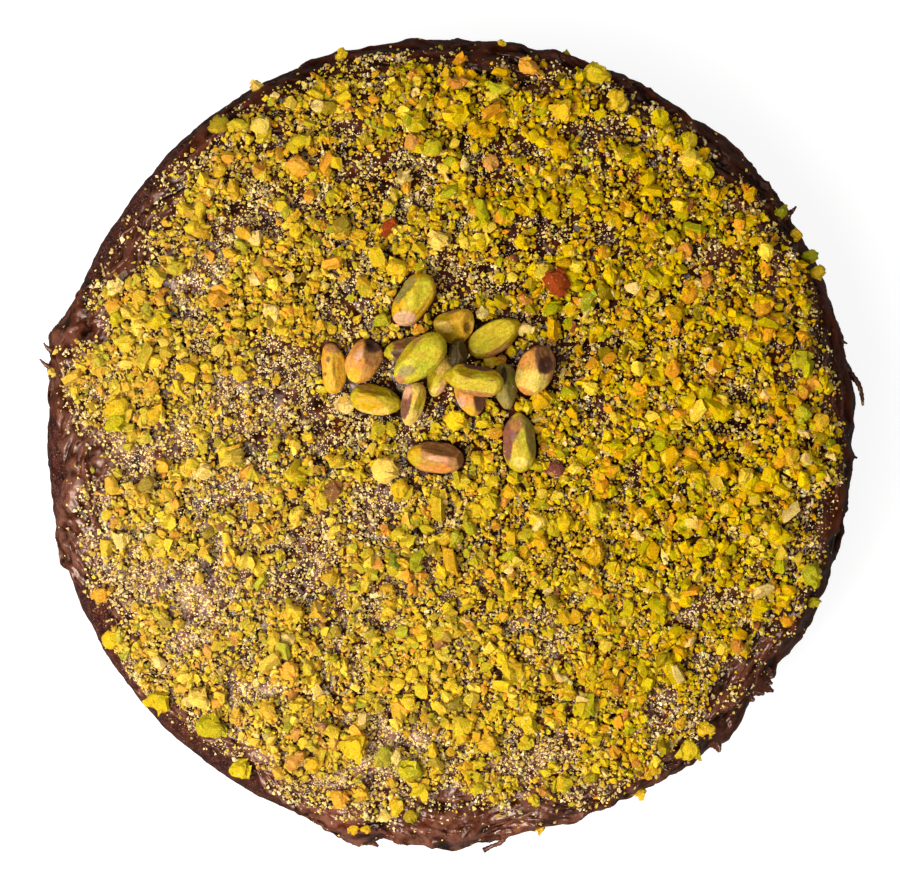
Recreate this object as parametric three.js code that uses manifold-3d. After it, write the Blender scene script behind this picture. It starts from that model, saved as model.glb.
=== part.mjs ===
// A round chocolate cake with thick chocolate icing spread over its top and down over its edge, strewn
// with chopped pistachios, and with a loose heap of whole pistachio kernels near the middle.
// Millimetres, +Z up. The origin is the middle of the flat base, and +Y is the far side of the cake.
import * as THREE from "three";
import { mergeVertices } from "three/addons/utils/BufferGeometryUtils.js";
import Module from "manifold-3d";

const TURN = 2 * Math.PI;
const DEG = Math.PI / 180;
const GOLDEN_ANGLE = Math.PI * (3 - Math.sqrt(5));

// The sponge, as it comes out of a 23 cm round tin: not quite round, and not quite central.
const TIN_RADIUS = 113.6;
const OVAL = 0.7; // how much longer it is along OVAL_AXIS, and shorter across it
const OVAL_AXIS = 47 * DEG;
const SHIFT = 1.3; // how far its middle is from the origin
const SHIFT_HEADING = 195 * DEG;
const BULGES = [{ at: 119, half: 20, out: 1.9 }];
const FLAT_RADIUS = 103.6; // where the top starts to round over
const EDGE_HEIGHT = 49; // the height there
const DOME = 2.5; // how much higher the middle is
const SHOULDER_WIDTH = TIN_RADIUS - FLAT_RADIUS;
const SHOULDER_DROP = 12;
const SHOULDER_RUN = 17.3; // the length of the quarter ellipse over the shoulder
const FOOT_ROUND = 3;
const CRAG = 0.5; // how deep the side's unevenness goes, always inwards
const SPONGE_SIDES = 64;

// The icing. A run is a length along the sponge's surface from the middle of the top, so that a long run
// goes over the shoulder and down the side.
const ICING_DEPTH = 4.5;
const SIDE_DEPTH = 2.4;
const ICING_RUN = 114;
const LIP = 5; // the icing rounds off over this length
const TOP_RUNS = [18, 35, 51, 66, 79, 90]; // where the icing's surface is worked out on the top,
const HEM_SHARES = [0, 0.3, 0.62, 1]; // then from HEM_START to the lip,
const HEM_START = 98;
const LIP_SHARES = [0.55, 0.87]; // and on the lip
const CLEARANCE = 0.4; // between any two pieces
const ICING_SIDES = 112;
const LID_FLOOR = 15; // the icing is a lid that reaches down inside the sponge, which is then cut out
const LID_TUCK = 1.5;
const STROKE_HEIGHT = 0.9; // the broad marks of the palette knife
const STROKE_LENGTH = 38;
const STROKE_HEADING = 40 * DEG;

// Where the icing's edge runs further out than ICING_RUN, or falls short of it: the direction, the half
// width in degrees, the extra run and the extra depth on the side.
const EDGE_FEATURES = [
  { at: 350, half: 30, run: 15, depth: 0 },
  { at: 18, half: 12, run: 8, depth: 0.4 },
  { at: 38, half: 9, run: 13, depth: 0 },
  { at: 52, half: 8, run: 4, depth: 1.4 },
  { at: 68, half: 12, run: 6, depth: -0.5 },
  { at: 88, half: 7, run: 12, depth: -0.3 },
  { at: 101, half: 8, run: 5, depth: -1.4 },
  { at: 145, half: 16, run: -5, depth: -0.8 },
  { at: 166.5, half: 6, run: 14, depth: 0.6 },
  { at: 184, half: 6, run: -6, depth: 0 },
  { at: 194, half: 5, run: 4, depth: -0.4 },
  { at: 207, half: 7, run: -8, depth: -0.8 },
  { at: 233, half: 10, run: -8, depth: -1.2 },
  { at: 257, half: 6, run: 16, depth: 0.6 },
  { at: 273, half: 5, run: 11, depth: 0.9 },
  { at: 295, half: 12, run: 4, depth: -1.4 },
  { at: 309, half: 6, run: 9, depth: 0.2 },
  { at: 323, half: 6, run: 9, depth: -0.7 },
];

// The chopped nuts. Their edge keeps back from the icing's edge by NUT_MARGIN, and by more where bare.
const NUT_MARGIN = 9;
const BARE = [
  { at: 187, half: 30, margin: 4 },
  { at: 232, half: 20, margin: 3 },
  { at: 262, half: 15, margin: 4 },
  { at: 313, half: 15, margin: 13 },
];
const CHUNKS = 96;
const CHUNK_SIZE = [5.2, 7.6];
const BITS = 84;
const BIT_SIZE = [3.2, 4.6];
const SUNK = 0.3; // the share of a nut's size that is below the icing's surface

// The largest chopped pieces, by place and size.
const BIG_CHUNKS = [
  { x: -18.1, y: -8.7, size: 8.6 },
  { x: 30.3, y: 44.6, size: 8.8 },
  { x: -82, y: 33.8, size: 8 },
  { x: 39.2, y: 39.2, size: 7 },
  { x: 29.5, y: -8.4, size: 7 },
  { x: -9, y: -33.8, size: 6.5 },
];

// Chunks that lie across the icing's edge, so that they show in the outline: direction and size.
const EDGE_CHUNKS = [
  { at: 21.5, size: 5.4 },
  { at: 25.5, size: 6.2 },
  { at: 30, size: 5 },
  { at: 61, size: 4.2 },
  { at: 104.5, size: 4 },
  { at: 308, size: 7 },
];

// The whole kernels, in the order in which they are laid down. x and y are the kernel's middle. Heading
// is the direction of its narrow end, and rise lifts that end. Upper ones come to lie on lower ones.
const KERNELS = [
  { name: "kernel_01", x: -10.2, y: 39.5, length: 16.4, width: 9.6, heading: 57, rise: 8, bend: 0 },
  { name: "kernel_02", x: 1.2, y: 33.6, length: 12, width: 9.2, heading: 22, rise: 6, bend: 0.32 },
  { name: "kernel_03", x: 12.6, y: 29, length: 16.6, width: 8.6, heading: 30, rise: -5, bend: 0 },
  { name: "kernel_04", x: -24.4, y: 22.2, length: 13.2, width: 9, heading: 240, rise: 6, bend: 0 },
  { name: "kernel_05", x: -33.3, y: 20.2, length: 14.6, width: 6.5, heading: 95, rise: 0, bend: 0.1 },
  { name: "kernel_06", x: -12.2, y: 25.4, length: 13.4, width: 7.4, heading: 190, rise: -4, bend: 0 },
  { name: "kernel_07", x: -20.8, y: 11.4, length: 14.8, width: 8.8, heading: -14, rise: 0, bend: 0 },
  { name: "kernel_08", x: -10.3, y: 10.6, length: 13, width: 6.8, heading: 256, rise: 10, bend: 0 },
  { name: "kernel_09", x: -2.9, y: 18, length: 12.4, width: 6.4, heading: 252, rise: 0, bend: 0 },
  { name: "kernel_10", x: 5.8, y: 13, length: 13, width: 8.4, heading: 282, rise: 0, bend: 0 },
  { name: "kernel_11", x: 15.7, y: 15.2, length: 13.2, width: 6.7, heading: 96, rise: 4, bend: 0 },
  { name: "kernel_12", x: 24.2, y: 19.9, length: 15, width: 10, heading: 68, rise: 9, bend: 0 },
  { name: "kernel_13", x: 19.6, y: -0.4, length: 17.2, width: 9.4, heading: 93, rise: 4, bend: 0 },
  { name: "kernel_14", x: -4, y: -4.8, length: 16.4, width: 9, heading: 172, rise: 0, bend: 0 },
  { name: "kernel_15", x: 2.2, y: 24.2, length: 8.4, width: 5.4, heading: 88, rise: 0, bend: 0 },
  { name: "kernel_16", x: 6.6, y: 17, length: 17.2, width: 8.9, heading: 171, rise: -6, bend: 0 },
  { name: "kernel_17", x: -8.4, y: 22.8, length: 18.6, width: 10, heading: 224, rise: 2, bend: 0 },
];
const KERNEL_THICKNESS = 0.9; // of its width
const KERNEL_RINGS = 8;
const KERNEL_SIDES = 9;
const HEAP_DROP = 20; // how far above the icing a kernel is before it is lowered

const wasm = await Module();
wasm.setup();

// A seeded draw from 0 to 1 for item n of a named series.
const SERIES = { chunk: 1, bit: 2, turn: 3, stretch: 4, dent: 5, shift: 6, size: 7 };
function draw(series, n) {
  const wave = Math.sin(n * 12.9898 + SERIES[series] * 78.233) * 43758.5453;
  return wave - Math.floor(wave);
}

function between([low, high], share) {
  return low + (high - low) * share;
}

// How near a direction is to a feature's own: 1 at its middle, fading over its half width.
function nearness(angle, feature) {
  let apart = Math.abs(angle / DEG - feature.at) % 360;
  apart = Math.min(apart, 360 - apart) / feature.half;
  return Math.exp(-apart * apart);
}

function summed(features, key, angle) {
  return features.reduce((sum, f) => sum + f[key] * nearness(angle, f), 0);
}

function outlineRadius(angle) {
  const oval = OVAL * Math.cos(2 * (angle - OVAL_AXIS));
  const shift = SHIFT * Math.cos(angle - SHIFT_HEADING);
  return TIN_RADIUS + oval + shift + summed(BULGES, "out", angle);
}

// The point of the sponge's surface at a run, as radius and height, with the way the surface faces.
function onSponge(run, angle) {
  const wider = outlineRadius(angle) - TIN_RADIUS;
  if (run <= FLAT_RADIUS) {
    const share = run / FLAT_RADIUS;
    const height = EDGE_HEIGHT + DOME * (1 - share * share);
    return { radius: run + wider * share, height, out: 0, up: 1 };
  }
  const over = Math.min((run - FLAT_RADIUS) / SHOULDER_RUN, 1);
  const out = Math.sin((over * Math.PI) / 2);
  const up = Math.cos((over * Math.PI) / 2);
  const down = Math.max(run - FLAT_RADIUS - SHOULDER_RUN, 0);
  return {
    radius: FLAT_RADIUS + wider + SHOULDER_WIDTH * out,
    height: EDGE_HEIGHT - SHOULDER_DROP * (1 - up) - down,
    out,
    up,
  };
}

// The broad marks of the palette knife, which run in long slightly curved waves.
function strokes(x, y) {
  const along = x * Math.cos(STROKE_HEADING) + y * Math.sin(STROKE_HEADING);
  const across = y * Math.cos(STROKE_HEADING) - x * Math.sin(STROKE_HEADING);
  const bow = 9 * Math.sin(along / 34 + 0.6) + 4 * Math.sin(along / 15 + across / 40);
  const wave = Math.sin((TURN * (across + bow)) / STROKE_LENGTH);
  return STROKE_HEIGHT * (wave + 0.5 * Math.sin(along / 11 - across / 17 + 1.3));
}

function icingRun(angle) {
  const ripple = 0.9 * Math.sin(11 * angle + 0.4) + 0.7 * Math.sin(23 * angle + 2.1);
  return ICING_RUN + ripple + summed(EDGE_FEATURES, "run", angle);
}

// The icing's depth over the sponge at a run, with a rounded lip at its end.
function icingDepth(run, angle) {
  const end = icingRun(angle);
  const place = onSponge(run, angle);
  const x = place.radius * Math.cos(angle);
  const y = place.radius * Math.sin(angle);
  const side = THREE.MathUtils.smoothstep(run, FLAT_RADIUS - 12, FLAT_RADIUS + 14);
  const onTop = ICING_DEPTH + strokes(x, y);
  const onSide = SIDE_DEPTH + summed(EDGE_FEATURES, "depth", angle);
  const past = THREE.MathUtils.clamp((run - (end - LIP)) / LIP, 0, 1);
  return THREE.MathUtils.lerp(onTop, onSide, side) * Math.sqrt(1 - past * past);
}

// The height of the icing's surface at a place on the top.
function icingTop(x, y) {
  const run = Math.hypot(x, y);
  const angle = Math.atan2(y, x);
  return onSponge(run, angle).height + CLEARANCE + icingDepth(run, angle);
}

function closedSolid(geometry) {
  geometry.deleteAttribute("normal");
  geometry.deleteAttribute("uv");
  const merged = mergeVertices(geometry, 1e-4);
  return new wasm.Manifold(
    new wasm.Mesh({
      numProp: 3,
      vertProperties: new Float32Array(merged.attributes.position.array),
      triVerts: new Uint32Array(merged.index.array),
    }),
  );
}

function geometryOf(solid) {
  const mesh = solid.getMesh();
  const positions = new Float32Array(mesh.numVert * 3);
  for (let i = 0; i < mesh.numVert; i++)
    positions.set(mesh.vertProperties.subarray(i * mesh.numProp, i * mesh.numProp + 3), i * 3);
  const geometry = new THREE.BufferGeometry();
  geometry.setAttribute("position", new THREE.BufferAttribute(positions, 3));
  geometry.setIndex(new THREE.BufferAttribute(new Uint32Array(mesh.triVerts), 1));
  return geometry;
}

// A body of revolution about Z whose profile points are then moved one by one: place(index, angle) gives
// the radius and height of profile point number index in that direction.
function moulded(count, sides, place) {
  const profile = [];
  for (let i = 0; i < count; i++) profile.push(new THREE.Vector2(i === 0 || i === count - 1 ? 0 : 1, i));
  const geometry = new THREE.LatheGeometry(profile, sides);
  const position = geometry.attributes.position;
  for (let i = 0; i < position.count; i++) {
    const side = Math.floor(i / count) % sides;
    const angle = (side / sides) * TURN;
    const { radius, height } = place(i % count, angle);
    position.setXYZ(i, radius * Math.cos(angle), radius * Math.sin(angle), height);
  }
  return geometry;
}

// The sponge, or the same grown by some clearance.
function sponge(clearance) {
  const shoulderSteps = 4;
  const sideSteps = 2;
  const runs = [0, FLAT_RADIUS / 3, (2 * FLAT_RADIUS) / 3];
  for (let i = 0; i <= shoulderSteps; i++) runs.push(FLAT_RADIUS + (SHOULDER_RUN * i) / shoulderSteps);
  const side = EDGE_HEIGHT - SHOULDER_DROP - FOOT_ROUND;
  for (let i = 1; i <= sideSteps; i++) runs.push(FLAT_RADIUS + SHOULDER_RUN + (side * i) / sideSteps);
  const pointCount = runs.length + 2;
  return moulded(pointCount, SPONGE_SIDES, (index, angle) => {
    if (index === 0) return { radius: 0, height: 0 };
    if (index === 1) return { radius: outlineRadius(angle) - CRAG - FOOT_ROUND, height: 0 };
    const place = onSponge(runs[pointCount - 1 - index], angle);
    const lumps = Math.sin(9 * angle + place.height / 9) + Math.sin(16 * angle - place.height / 6 + 2);
    const out = clearance - CRAG * place.out * (0.5 + 0.25 * lumps);
    return { radius: place.radius + out * place.out, height: place.height + clearance * place.up };
  });
}

// The icing as a lid over the sponge, with the sponge and its clearance cut out of it.
function bareIcing() {
  const hem = HEM_SHARES.length;
  const top = TOP_RUNS.length;
  const pointCount = 3 + LIP_SHARES.length + hem + top;
  // The run of point number index, counted from the middle of the top outwards.
  const runOf = (index, angle) => {
    if (index <= top) return index === 0 ? 0 : TOP_RUNS[index - 1];
    const lip = icingRun(angle) - LIP;
    if (index <= top + hem) return THREE.MathUtils.lerp(HEM_START, lip, HEM_SHARES[index - top - 1]);
    return lip + LIP * (LIP_SHARES[index - top - hem - 1] ?? 1);
  };
  const lid = moulded(pointCount, ICING_SIDES, (index, angle) => {
    if (index === 0) return { radius: 0, height: LID_FLOOR };
    const run = runOf(pointCount - 1 - index, angle);
    const place = onSponge(run, angle);
    const off = index === 1 ? -LID_TUCK : CLEARANCE + icingDepth(run, angle);
    return { radius: place.radius + off * place.out, height: place.height + off * place.up };
  });
  return closedSolid(lid).subtract(closedSolid(sponge(CLEARANCE)));
}

// One chopped piece: a dented, stretched and turned solid with flat cut faces.
function chopped(shape, size, n) {
  const geometry = shape.clone();
  const position = geometry.attributes.position;
  const stretch = new THREE.Vector3(
    1,
    between([0.62, 0.95], draw("stretch", n)),
    between([0.5, 0.8], draw("stretch", n + 0.5)),
  );
  const corner = new THREE.Vector3();
  for (let i = 0; i < position.count; i++) {
    corner.fromBufferAttribute(position, i);
    const key = Math.round(corner.x * 7) + 3 * Math.round(corner.y * 7) + 5 * Math.round(corner.z * 7);
    corner.multiply(stretch).multiplyScalar((size / 2) * between([0.78, 1.12], draw("dent", n * 31 + key)));
    position.setXYZ(i, corner.x, corner.y, corner.z);
  }
  const turn = new THREE.Euler(draw("turn", n) - 0.5, draw("turn", n + 0.3) - 0.5, TURN * draw("turn", n + 0.6));
  geometry.applyMatrix4(new THREE.Matrix4().makeRotationFromEuler(turn));
  return geometry;
}

function nutLimit(angle) {
  return Math.min(icingRun(angle), FLAT_RADIUS + 9) - NUT_MARGIN - summed(BARE, "margin", angle);
}

// Whether a round thing of that radius at a place is clear of every kernel's outline.
function clearOfKernels(x, y, radius) {
  return KERNELS.every((k) => {
    const heading = k.heading * DEG;
    const along = (x - k.x) * Math.cos(heading) + (y - k.y) * Math.sin(heading);
    const across = (y - k.y) * Math.cos(heading) - (x - k.x) * Math.sin(heading);
    return Math.hypot(along / (k.length / 2 + radius + 1), across / (k.width / 2 + radius + 1)) > 1;
  });
}

// Nut pieces spread evenly over the icing on a sunflower spiral, each a little off its place.
function strewn(series, count, sizes, shape) {
  const pieces = [];
  const spacing = FLAT_RADIUS / Math.sqrt(count);
  for (let n = 0; n < count; n++) {
    const turn = n * GOLDEN_ANGLE + SERIES[series];
    const out = spacing * Math.sqrt(n + 0.5);
    const x = out * Math.cos(turn) + spacing * (draw("shift", n + SERIES[series] * 500) - 0.5);
    const y = out * Math.sin(turn) + spacing * (draw("shift", n + SERIES[series] * 900) - 0.5);
    const size = between(sizes, draw("size", n + SERIES[series] * 500) ** 2);
    if (Math.hypot(x, y) > nutLimit(Math.atan2(y, x)) || !clearOfKernels(x, y, size / 2)) continue;
    const piece = chopped(shape, size, n + SERIES[series] * 1000);
    piece.translate(x, y, icingTop(x, y) + size * (0.35 - SUNK));
    pieces.push(closedSolid(piece));
  }
  return pieces;
}

function placedChunks() {
  const shape = new THREE.IcosahedronGeometry(1, 0);
  const onTop = BIG_CHUNKS.map(({ x, y, size }, n) => {
    const piece = chopped(shape, size, n + 4000);
    return closedSolid(piece.translate(x, y, icingTop(x, y) + size * 0.1));
  });
  const onEdge = EDGE_CHUNKS.map(({ at, size }, n) => {
    const angle = at * DEG;
    const place = onSponge(FLAT_RADIUS + 0.7 * SHOULDER_RUN, angle);
    const off = CLEARANCE + SIDE_DEPTH + size * 0.15;
    const radius = place.radius + off * place.out;
    const piece = chopped(shape, size, n + 5000);
    piece.translate(radius * Math.cos(angle), radius * Math.sin(angle), place.height + off * place.up);
    return closedSolid(piece);
  });
  return [...onTop, ...onEdge];
}

function icing() {
  const chunks = strewn("chunk", CHUNKS, CHUNK_SIZE, new THREE.IcosahedronGeometry(1, 0));
  const bits = strewn("bit", BITS, BIT_SIZE, new THREE.OctahedronGeometry(1, 0));
  const whole = wasm.Manifold.union([bareIcing(), ...chunks, ...bits, ...placedChunks()]);
  const parts = whole.decompose().sort((a, b) => b.volume() - a.volume());
  return geometryOf(parts[0].simplify(0.02));
}

// A kernel about its own middle, its narrow end towards +X: an egg-like body, flatter underneath, with a
// blunt keel along its back and, where bend says so, a curve along its length.
function kernelGeometry({ length, width, heading, rise, bend }) {
  const ringCount = KERNEL_RINGS + 1;
  const geometry = moulded(ringCount, KERNEL_SIDES, (index, angle) => {
    const along = -Math.cos((index / KERNEL_RINGS) * Math.PI);
    const full = Math.sqrt(Math.max(1 - Math.abs(along) ** 2.3, 0)) * (1.02 - 0.14 * along);
    const keel = 1 + 0.05 * Math.cos(2 * angle) + 0.04 * Math.cos(3 * angle);
    return { radius: full * keel, height: along };
  });
  geometry.applyMatrix4(new THREE.Matrix4().makeBasis(
    new THREE.Vector3(0, 0, 1),
    new THREE.Vector3(0, 1, 0),
    new THREE.Vector3(1, 0, 0),
  ).transpose());
  geometry.index.array.reverse();
  const position = geometry.attributes.position;
  for (let i = 0; i < position.count; i++) {
    const along = position.getX(i);
    position.setY(i, position.getY(i) - bend * (1 - along * along) * 1.2);
  }
  geometry.scale(length / 2, width / 2, (width * KERNEL_THICKNESS) / 2);
  geometry.rotateY(-rise * DEG);
  geometry.rotateZ(heading * DEG);
  return geometry;
}

// The lowest height for a kernel's middle at which it is clear of the icing and of the kernels below.
function restingHeight(geometry, { x, y }, below) {
  const position = geometry.attributes.position;
  let floor = -Infinity;
  for (let i = 0; i < position.count; i++) {
    const top = icingTop(x + position.getX(i), y + position.getY(i));
    floor = Math.max(floor, top + CLEARANCE - position.getZ(i));
  }
  const solid = closedSolid(geometry.clone());
  const clear = (height) => {
    const lowered = solid.translate([x, y, height]);
    return below.every((other) => lowered.minGap(other, 2 * CLEARANCE) >= CLEARANCE);
  };
  if (clear(floor)) return floor;
  let low = floor;
  let high = floor + HEAP_DROP;
  while (high - low > 0.02) {
    const middle = (low + high) / 2;
    if (clear(middle)) high = middle;
    else low = middle;
  }
  return high;
}

const food = (color, roughness) => new THREE.MeshStandardMaterial({ color, roughness, metalness: 0 });
const SPONGE_LOOK = food(0x3f1d10, 0.85);
const ICING_LOOK = food(0x4a2a1a, 0.4);
const KERNEL_LOOK = food(0xb0a030, 0.6);

const cake = new THREE.Group();

function addPiece(name, geometry, material) {
  const mesh = new THREE.Mesh(geometry, material);
  mesh.name = name;
  cake.add(mesh);
  return mesh;
}

addPiece("sponge", sponge(0), SPONGE_LOOK);
addPiece("icing", icing(), ICING_LOOK);

const laid = [];
for (const kernel of KERNELS) {
  const geometry = kernelGeometry(kernel);
  const height = restingHeight(geometry, kernel, laid);
  laid.push(closedSolid(geometry.clone()).translate([kernel.x, kernel.y, height]));
  addPiece(kernel.name, geometry, KERNEL_LOOK).position.set(kernel.x, kernel.y, height);
}

export default cake;
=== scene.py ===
"""A round chocolate cake with chocolate icing, chopped pistachios and a heap of whole pistachio kernels."""
import math

import bmesh
import bpy
import numpy as np
from mathutils import Euler, Matrix, Vector


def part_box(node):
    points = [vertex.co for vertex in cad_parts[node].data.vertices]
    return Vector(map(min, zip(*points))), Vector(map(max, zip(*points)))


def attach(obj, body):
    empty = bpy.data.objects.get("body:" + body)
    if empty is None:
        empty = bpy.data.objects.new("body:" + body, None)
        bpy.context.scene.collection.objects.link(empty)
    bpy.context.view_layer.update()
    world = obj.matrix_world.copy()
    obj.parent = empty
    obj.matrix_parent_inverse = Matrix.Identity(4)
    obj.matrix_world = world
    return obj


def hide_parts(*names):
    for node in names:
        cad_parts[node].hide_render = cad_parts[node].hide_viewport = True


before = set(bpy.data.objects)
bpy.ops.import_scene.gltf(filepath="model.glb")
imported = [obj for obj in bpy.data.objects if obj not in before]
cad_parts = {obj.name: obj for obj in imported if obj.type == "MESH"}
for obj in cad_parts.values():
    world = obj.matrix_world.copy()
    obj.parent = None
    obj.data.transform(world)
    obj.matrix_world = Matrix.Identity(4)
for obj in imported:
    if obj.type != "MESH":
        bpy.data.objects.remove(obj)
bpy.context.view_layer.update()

MM = 0.001  # forms are worked out in millimetres, as in the part's source, and made in metres
TURN = 2 * math.pi

# ---------------------------------------------------------------- the forms that the part's source gives

TIN_RADIUS = 113.6
OVAL = 0.7
OVAL_AXIS = math.radians(47)
SHIFT = 1.3
SHIFT_HEADING = math.radians(195)
FLAT_RADIUS = 103.6
EDGE_HEIGHT = 49
DOME = 2.5
SHOULDER_WIDTH = TIN_RADIUS - FLAT_RADIUS
SHOULDER_DROP = 12
SHOULDER_RUN = 17.3
FOOT_ROUND = 3

ICING_DEPTH = 4.5
SIDE_DEPTH = 2.4
ICING_RUN = 114
LIP = 5
CLEARANCE = 0.4
STROKE_HEIGHT = 0.9
STROKE_LENGTH = 38
STROKE_HEADING = math.radians(40)

# Each feature of the rim starts with a direction and a half width in degrees. The rest is in millimetres.
# Where the sponge bulges, and how far.
BULGES = [(119, 20, 1.9)]
# Where the icing's edge runs further out or falls short: extra run over the edge, then extra depth there.
RUN, DEPTH = 2, 3
EDGE_FEATURES = [
    (350, 30, 15, 0), (18, 12, 8, 0.4), (38, 9, 13, 0), (52, 8, 4, 1.4), (68, 12, 6, -0.5),
    (88, 7, 12, -0.3), (101, 8, 5, -1.4), (145, 16, -5, -0.8), (166.5, 6, 14, 0.6), (184, 6, -6, 0),
    (194, 5, 4, -0.4), (207, 7, -8, -0.8), (233, 10, -8, -1.2), (257, 6, 16, 0.6), (273, 5, 11, 0.9),
    (295, 12, 4, -1.4), (309, 6, 9, 0.2), (323, 6, 9, -0.7),
]


def eased(share):
    return share * share * (3 - 2 * share)


def smoothstep(value, low, high):
    return eased(np.clip((value - low) / (high - low), 0, 1))


def summed(features, angle, column=2):
    """What a list of features adds up to in a direction, from one of its columns."""
    total = 0
    for feature in features:
        apart = np.abs(np.degrees(angle) - feature[0]) % 360
        apart = np.minimum(apart, 360 - apart) / feature[1]
        total = total + feature[column] * np.exp(-apart * apart)
    return total


def along_across(x, y, heading):
    """How far a place is along a heading and across it."""
    return x * math.cos(heading) + y * math.sin(heading), y * math.cos(heading) - x * math.sin(heading)


def place_at(radius, angle):
    return radius * np.cos(angle), radius * np.sin(angle)


def outline_radius(angle):
    oval = OVAL * np.cos(2 * (angle - OVAL_AXIS))
    shift = SHIFT * np.cos(angle - SHIFT_HEADING)
    return TIN_RADIUS + oval + shift + summed(BULGES, angle)


def on_sponge(run, angle):
    """The radius and height of the sponge's surface at a run from the middle, and the way it faces."""
    wider = outline_radius(angle) - TIN_RADIUS
    share = np.clip(run / FLAT_RADIUS, 0, 1)
    over = np.clip((run - FLAT_RADIUS) / SHOULDER_RUN, 0, 1)
    out = np.sin(over * math.pi / 2)
    up = np.cos(over * math.pi / 2)
    down = np.maximum(run - FLAT_RADIUS - SHOULDER_RUN, 0)
    radius = share * (FLAT_RADIUS + wider) + SHOULDER_WIDTH * out
    height = EDGE_HEIGHT + DOME * (1 - share * share) - SHOULDER_DROP * (1 - up) - down
    return radius, height, out, up


def off_sponge(run, angle, off):
    """The radius and height of a point that stands off the sponge's surface."""
    radius, height, out, up = on_sponge(run, angle)
    return radius + off * out, height + off * up


def strokes(x, y):
    along, across = along_across(x, y, STROKE_HEADING)
    bow = 9 * np.sin(along / 34 + 0.6) + 4 * np.sin(along / 15 + across / 40)
    wave = np.sin(TURN * (across + bow) / STROKE_LENGTH)
    return STROKE_HEIGHT * (wave + 0.5 * np.sin(along / 11 - across / 17 + 1.3))


def icing_run(angle):
    ripple = 0.9 * np.sin(11 * angle + 0.4) + 0.7 * np.sin(23 * angle + 2.1)
    return ICING_RUN + ripple + summed(EDGE_FEATURES, angle, RUN)


def icing_depth(run, angle, end):
    """The icing's depth over the sponge, with a rounded lip at its end."""
    radius = on_sponge(run, angle)[0]
    side = smoothstep(run, FLAT_RADIUS - 12, FLAT_RADIUS + 14)
    on_top = ICING_DEPTH + strokes(*place_at(radius, angle))
    on_side = SIDE_DEPTH + summed(EDGE_FEATURES, angle, DEPTH)
    past = np.clip((run - (end - LIP)) / LIP, 0, 1)
    return (on_top + (on_side - on_top) * side) * np.sqrt(1 - past * past)


# ---------------------------------------------------------------- seeded unevenness


def lattice(ix, iy, iz, seed):
    """A steady draw from -1 to 1 for each point of a whole-number lattice."""
    bits = (ix * 73856093) ^ (iy * 19349663) ^ (iz * 83492791) ^ (seed * 2654435761)
    bits = (bits ^ (bits >> 13)) * 1274126177
    return ((bits ^ (bits >> 16)) & 0xFFFF) / 32767.5 - 1


def in_cells(values):
    """The lattice cell that each value is in, and how far through it, eased at both ends."""
    low = [np.floor(value).astype(np.int64) for value in values]
    return low, [eased(value - whole) for value, whole in zip(values, low)]


def lumps(x, y, z, size, seed):
    """Smooth unevenness from -1 to 1 whose lumps are about size across."""
    low, share = in_cells([np.asarray(value, dtype=float) / size for value in (x, y, z)])
    total = 0
    for corner in range(8):
        step = [(corner >> axis) & 1 for axis in range(3)]
        weight = 1
        for axis in range(3):
            weight = weight * (share[axis] if step[axis] else 1 - share[axis])
        total = total + weight * lattice(low[0] + step[0], low[1] + step[1], low[2] + step[2], seed)
    return total


def rim_lumps(angle, across, long, wide, seed):
    """Unevenness round the rim that closes on itself: its lumps are long round the rim and wide across it."""
    cells = round(TURN * TIN_RADIUS / long)
    round_rim = np.asarray(angle, dtype=float) / TURN % 1 * cells
    low, share = in_cells([round_rim, np.asarray(across, dtype=float) / wide])
    total = 0
    for step in np.ndindex(2, 2):
        weight = np.where(step[0], share[0], 1 - share[0]) * np.where(step[1], share[1], 1 - share[1])
        total = total + weight * lattice((low[0] + step[0]) % cells, low[1] + step[1], low[0] * 0, seed)
    return total


def rough(x, y, z, size, seed):
    """Unevenness in three sizes, each half as large and half as high as the one before."""
    total = 0
    for octave in range(3):
        total = total + 0.5 ** octave * lumps(x, y, z, size * 0.5 ** octave, seed + octave)
    return total / 1.75


def pores(x, y, z, size, seed):
    """How deep in a pore a place is, from 0 to 1: scattered hollows of uneven size, about size apart."""
    at = [np.asarray(value, dtype=float) / size for value in (x, y, z)]
    low = in_cells(at)[0]
    deepest = np.zeros(at[0].shape)
    for cell in np.ndindex(3, 3, 3):
        place = [low[axis] + cell[axis] - 1 for axis in range(3)]
        apart = 0
        for axis in range(3):
            point = place[axis] + 0.5 + 0.5 * lattice(*place, seed + 7 * axis)
            apart = apart + (at[axis] - point) ** 2
        reach = 0.26 + 0.26 * lattice(*place, seed + 29)
        deepest = np.maximum(deepest, smoothstep(np.sqrt(apart), reach, reach * 0.3 - 0.05) * (reach > 0.1))
    return deepest


def sharp(uneven):
    """Turns smooth unevenness into narrow crests between wide hollows, about zero on the whole."""
    return 0.55 - 2 * np.abs(uneven)


# ---------------------------------------------------------------- making meshes


def new_object(name, data):
    made = bpy.data.objects.new(name, data)
    bpy.context.scene.collection.objects.link(made)
    return made


def add_piece(mesh, material, replaced):
    piece = new_object(mesh.name, mesh)
    mesh.materials.append(material)
    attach(piece, "root")
    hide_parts(replaced)


def verts_of(bm):
    return np.array([vert.co for vert in bm.verts])


def move_verts(bm, places):
    for vert, place in zip(bm.verts, places):
        vert.co = place


def smooth_verts(bm, factor):
    axes = {f"use_axis_{axis}": True for axis in "xyz"}
    bmesh.ops.smooth_vert(bm, verts=bm.verts[:], factor=factor, **axes)


def everything(bm):
    return bm.verts[:] + bm.edges[:] + bm.faces[:]


def outward_normals(bm):
    bmesh.ops.recalc_face_normals(bm, faces=bm.faces[:])


def finished_mesh(bm, name):
    mesh = bpy.data.meshes.new(name)
    bm.to_mesh(mesh)
    bm.free()
    mesh.polygons.foreach_set("use_smooth", [True] * len(mesh.polygons))
    return mesh


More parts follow.
